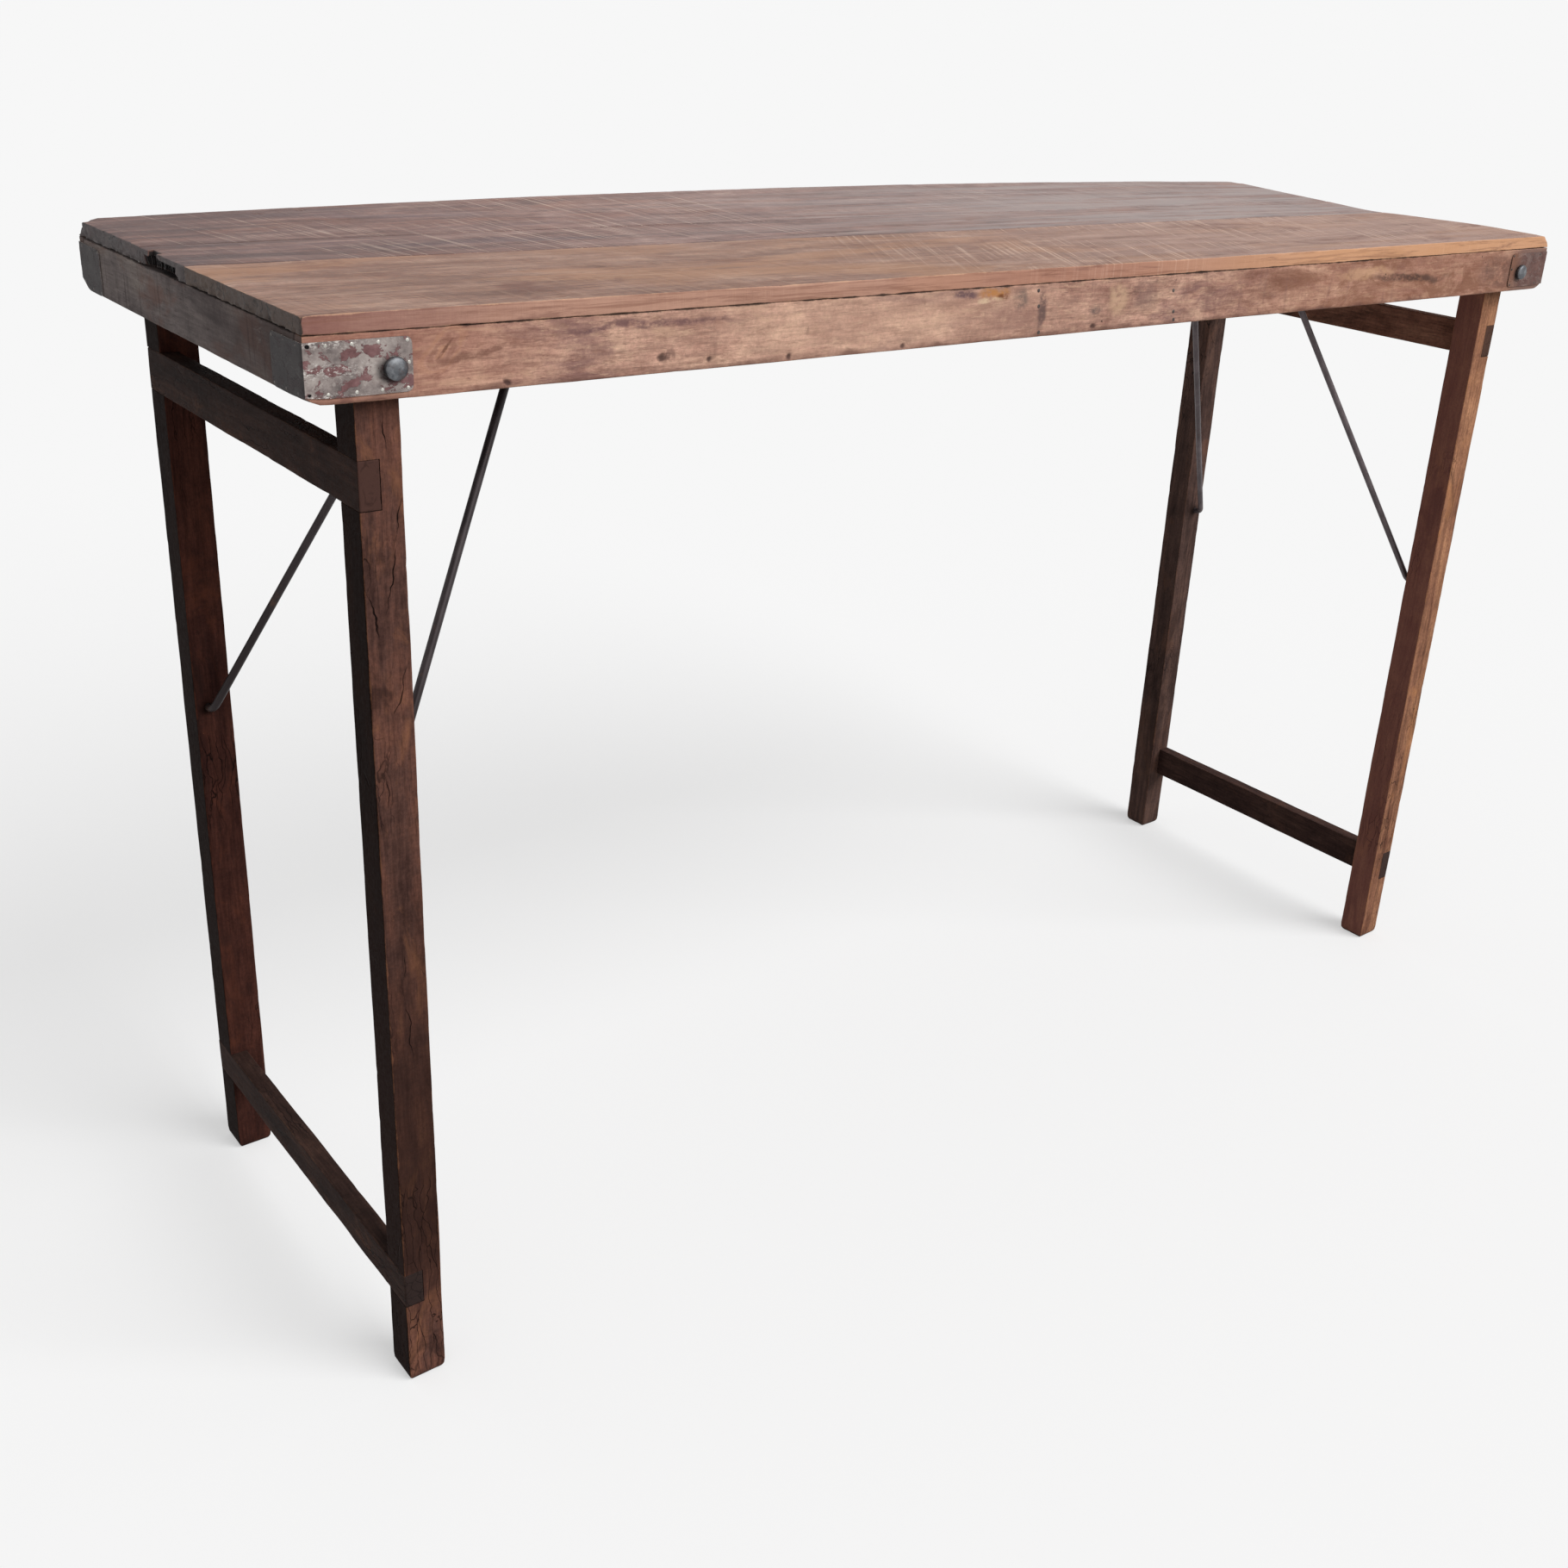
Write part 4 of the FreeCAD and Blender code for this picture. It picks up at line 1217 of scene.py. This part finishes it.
def lay_plate(corner, seed):
    """Plate on one corner, with its nails."""
    node = corner + "_corner_plate"
    face, side = corner.split("_")
    facing, inward = faces[face], sides[side]
    low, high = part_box(node)
    reach = high.x - low.x
    end_reach = high.y - low.y - sheet_bend_radius
    arc = math.pi / 2 * sheet_bend_radius
    line = bent_line([(reach - sheet_bend_radius, 0), (arc, math.pi / 2), (end_reach, 0)])
    length = reach - sheet_bend_radius + arc + end_reach
    spans = zip((0, 0, low.z), (length, sheet_thickness, high.z), sheet_steps)
    flat, quads = block_mesh([grid_lines(*span) for span in spans])
    free = np.minimum(flat[:, 0], length - flat[:, 0])
    middle = (low.z + high.z) / 2
    half = (high.z - low.z) / 2
    past = np.clip(sheet_corner - free, 0, sheet_corner) / sheet_corner
    squeeze = 1 - (1 - np.sqrt(np.clip(1 - past ** 2, 0, 1))) * sheet_corner / half
    flat[:, 2] = middle + (flat[:, 2] - middle) * squeeze
    crumple = 0.16 * mm * rough(flat, (60, 0, 90), seed) + 0.1 * mm * rough(flat, (200, 0, 260), seed + 1)
    crease = crease_depth * np.exp(-((flat[:, 2] - middle + crease_drop) / crease_reach) ** 2)
    flat[:, 1] += np.clip(mean_crumple + crumple - crease, 0, deepest_crumple)
    along, depth = bend(flat, line)
    corner_x = low.x if inward > 0 else high.x
    outer_y = low.y if facing < 0 else high.y
    x = corner_x + inward * (reach - along + sheet_clear)
    y = outer_y - facing * (depth + sheet_clear)
    z = flat[:, 2] + corner_lift(x, y, flat[:, 2])
    sheet = Heap()
    sheet.add(np.stack([x, y, z], 1), quads if inward * facing > 0 else quads[:, ::-1])
    add_piece("tin_" + node, sheet, plate_tins[side], node)

    head = dome(nail_radius, nail_height)
    face_nails = bright_nails if inward > 0 else dark_nails
    face_y = outer_y - facing * nail_sunk
    along_face = np.linspace(first_nail, reach - last_nail_margin, nail_counts[side])
    along_end = np.linspace(first_end_nail, end_reach - last_end_nail_margin, end_nail_count)
    for level in (low.z + nail_margin, high.z - nail_margin):
        for step, inside in enumerate(along_face):
            stray = nail_stray * noise.noise(Vector((seed * 3.1 + step * 1.7, level * 90, 0.5)))
            place = (corner_x + inward * (inside + stray), face_y, level)
            face_nails.stand(head, place, 1, facing, nail_sides)
        for inside in along_end:
            nail_y = outer_y - facing * inside
            place = (corner_x + inward * end_nail_sunk, nail_y, level + corner_lift(corner_x, nail_y, level))
            dark_nails.stand(head, place, 0, -inward, nail_sides)
    place = (corner_x + inward * (reach - nail_margin), face_y, middle + 1 * mm)
    face_nails.stand(head, place, 1, facing, nail_sides)


for seed, corner in enumerate(table_corners, 60):
    lay_plate(corner, seed)
add_piece("bright_plate_nails", bright_nails, nail_steel, "front_left_corner_plate", False)
add_piece("dark_plate_nails", dark_nails, old_nail_steel, "front_left_corner_plate", False)


# Nails through the aprons into the battens, at places along and up in mm

batten_nails = [(-65.4, 746.3), (-63.9, 734.9), (-61.5, 715.9), (81.8, 738.6), (84.7, 722.2), (86.0, 715.9)]
batten_nail_radius = 1.5 * mm
old_nails = Heap()
for x, z in batten_nails:
    for facing in faces.values():
        place = (x * mm, facing * (table_side - nail_sunk), z * mm)
        old_nails.stand(dome(batten_nail_radius, nail_height), place, 1, facing, 14)
add_piece("apron_nails", old_nails, old_nail_steel, "front_apron", False)


# Pivot bolts, nuts and washers

bolt_head_radius = 6.75 * mm
bolt_head_height = 4.4 * mm
head_skirt = 2.2 * mm
head_arris = 0.5 * mm
head_steps = 9
head_fullness = 0.6
crown_radius = 0.2 * mm
bolt_radius = 3.0 * mm
bolt_beyond_nut = 2.5 * mm
bolt_tip_radius = 0.1 * mm
thread_pitch = 1.0 * mm
thread_turns = 12
thread_root = bolt_radius - 0.45 * mm
thread_crest = bolt_radius - 0.02 * mm
nut_half = 5.0 * mm
nut_height = 5.0 * mm
nut_steps = (2.5 * mm, 2.0 * mm, 2.5 * mm)
nut_arris = 0.6 * mm
nut_dents = 0.1 * mm
washer_radius = 8.0 * mm
washer_thickness = 1.0 * mm
washer_arris = 0.15 * mm
leg_clearance = 0.4 * mm


def bolt_profile(length):
    """Thick mushroom head, shank, and a threaded end."""
    profile = [(bolt_tip_radius, -length)]
    for turn in range(thread_turns):
        level = -length + turn * thread_pitch
        profile += [(thread_root, level), (thread_crest, level + thread_pitch / 2)]
    profile += [(bolt_radius, -length + (thread_turns + 0.5) * thread_pitch), (bolt_radius, 0.0),
                (bolt_head_radius - head_arris, 0.0), (bolt_head_radius, head_arris),
                (bolt_head_radius, head_skirt)]
    for step in range(1, head_steps + 1):
        angle = math.pi / 2 * step / head_steps
        radius = max(bolt_head_radius * math.cos(angle) ** head_fullness, crown_radius)
        profile.append((radius, head_skirt + (bolt_head_height - head_skirt) * math.sin(angle)))
    return profile


bolts, nuts, leg_washers, apron_washers = Heap(), Heap(), Heap(), Heap()
washer_profile = [(bolt_radius, 0.0), (washer_radius - washer_arris, 0.0), (washer_radius, washer_arris),
                  (washer_radius, washer_thickness - washer_arris),
                  (washer_radius - washer_arris, washer_thickness), (bolt_radius, washer_thickness)]
bolt_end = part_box("pivot_bolts")[1].y
for corner in table_corners:
    face, side = corner.split("_")
    facing = faces[face]
    pivot = joint_at[side + "_leg_fold"]
    leg_low, leg_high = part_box(corner + "_leg")
    leg_inner = leg_high.y if facing < 0 else leg_low.y
    seat = facing * (bolt_end - bolt_head_height)
    washer_near = leg_inner - facing * leg_clearance
    nut_near = washer_near - facing * washer_thickness
    length = abs(seat - nut_near) + nut_height + bolt_beyond_nut
    bolts.stand(bolt_profile(length), (pivot.x, seat, pivot.z), 1, facing)
    leg_washers.stand(washer_profile, (pivot.x, washer_near, pivot.z), 1, -facing, ring=True)
    nut_low, nut_high = sorted((nut_near, nut_near - facing * nut_height))
    nut = Block((pivot.x - nut_half, nut_low, pivot.z - nut_half),
                (pivot.x + nut_half, nut_high, pivot.z + nut_half), nut_steps, nut_arris, 80, nut_dents)
    nuts.add(nut.points, nut.quads)
    if facing == -sides[side]:
        inner_face = facing * (table_side - apron_thickness)
        apron_washers.stand(washer_profile, (pivot.x, inner_face, pivot.z), 1, -facing, ring=True)
add_piece("cast_bolts", bolts, bolt_steel, "pivot_bolts")
add_piece("square_nuts", nuts, bolt_steel, "pivot_nuts")
add_piece("stamped_washers", leg_washers, bolt_steel, "leg_washers")
add_piece("thrust_washers", apron_washers, bolt_steel, "apron_washers")


# Keeper hooks: bent straps, each with two screws in its flange

hook_thickness = 2.5 * mm
hook_half_width = 9 * mm
hook_steps = (1.2 * mm, 0.8 * mm, 3.0 * mm)
hook_arris = 0.5 * mm
hook_dents = 0.12 * mm
hook_flange = 13 * mm
hook_corner_radius = 0.8 * mm
hook_lip = 9 * mm
hook_turn = math.radians(70)
seat_clearance = 0.6 * mm
screw_radius = 2.6 * mm
screw_height = 1.3 * mm
screw_inset = 7 * mm
screw_half_spacing = 4.6 * mm
hooks, screws = Heap(), Heap()
for side, inward in sides.items():
    radius, bar = stay_bar(side)
    flange_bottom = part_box(side + "_keeper_batten")[0].z - hook_thickness
    outer_radius = radius + seat_clearance + hook_thickness
    moves = [(hook_flange - hook_corner_radius, 0), (hook_corner_radius * math.pi / 2, -math.pi / 2),
             (flange_bottom - bar.z - hook_corner_radius, 0), (outer_radius * hook_turn, hook_turn),
             (hook_lip, 0)]
    line = bent_line(moves)
    strap = Block((0, 0, bar.y - hook_half_width), (line[-1, 0], hook_thickness, bar.y + hook_half_width),
                  hook_steps, hook_arris, 85, hook_dents)
    out, up = bend(strap.points, line)
    x = bar.x - inward * (outer_radius + hook_flange - out)
    hooks.add(np.stack([x, strap.points[:, 2], flange_bottom + up], 1),
              strap.quads if inward < 0 else strap.quads[:, ::-1])
    screw_x = bar.x - inward * (outer_radius + screw_inset)
    for hand in (-1, 1):
        place = (screw_x, bar.y + hand * screw_half_spacing, flange_bottom)
        screws.stand(dome(screw_radius, screw_height), place, 2, -1, 18)
add_piece("strap_hooks", hooks, stay_iron, "keeper_hooks")
add_piece("hook_screws", screws, bolt_steel, "pivot_bolts", False)


# Floor, light and camera


def make_floor():
    """Pale floor that shows white to the eye and throws back less light than it seems to."""
    mesh = bpy.data.meshes.new("floor")
    square = [(-1, -1), (1, -1), (1, 1), (-1, 1)]
    mesh.from_pydata([(x * floor_reach, y * floor_reach, 0) for x, y in square], [], [(0, 1, 2, 3)])
    floor = link("floor", mesh)
    paint = Finish("floor_paint")
    seen = paint.seen()
    light = key_strength * key_direction.normalized().z / math.pi + fill_strength
    shaded = surround * (1 - floor_glow) / light
    paint.colour = paint.mix(seen, linear_grey(floor_bounce), linear_grey(shaded))
    paint.put(paint.shader.inputs["Emission Color"], linear_grey(surround))
    paint.put(paint.shader.inputs["Emission Strength"], paint.times(seen, floor_glow))
    mesh.materials.append(paint.finish(1.0, 0.0))


def make_world():
    """White surround for the eye, and a weaker even fill for what it lights."""
    world = bpy.data.worlds.new("studio")
    bpy.context.scene.world = world
    world.use_nodes = True
    sky = Nodes(world.node_tree)
    background = sky.tree.nodes["Background"]
    sky.put(background.inputs["Color"], linear_grey(1.0))
    sky.put(background.inputs["Strength"], sky.ease(sky.seen(), 0, 1, fill_strength, surround))


def make_key():
    data = bpy.data.lights.new("key", "SUN")
    data.energy = key_strength
    data.angle = key_angle
    lamp = link("key", data)
    lamp.rotation_mode = "QUATERNION"
    lamp.rotation_quaternion = (-key_direction).to_track_quat("-Z", "Y")


def make_camera():
    data = bpy.data.cameras.new("camera")
    data.sensor_width = sensor_width
    data.lens = focal_pixels / image_size * sensor_width
    data.shift_x = 0.5 - principal_pixel[0] / image_size
    data.shift_y = principal_pixel[1] / image_size - 0.5
    data.clip_end = 2 * floor_reach
    forward = camera_forward.normalized()
    level_right = forward.cross(Vector((0, 0, 1))).normalized()
    level_down = forward.cross(level_right)
    right = level_right * math.cos(camera_roll) + level_down * math.sin(camera_roll)
    turned = Matrix((right, right.cross(forward), -forward)).transposed()
    camera = link("camera", data)
    camera.matrix_world = Matrix.Translation(camera_place) @ turned.to_4x4()
    bpy.context.scene.camera = camera


make_floor()
make_world()
make_key()
make_camera()
bpy.context.scene.view_settings.view_transform = "Standard"
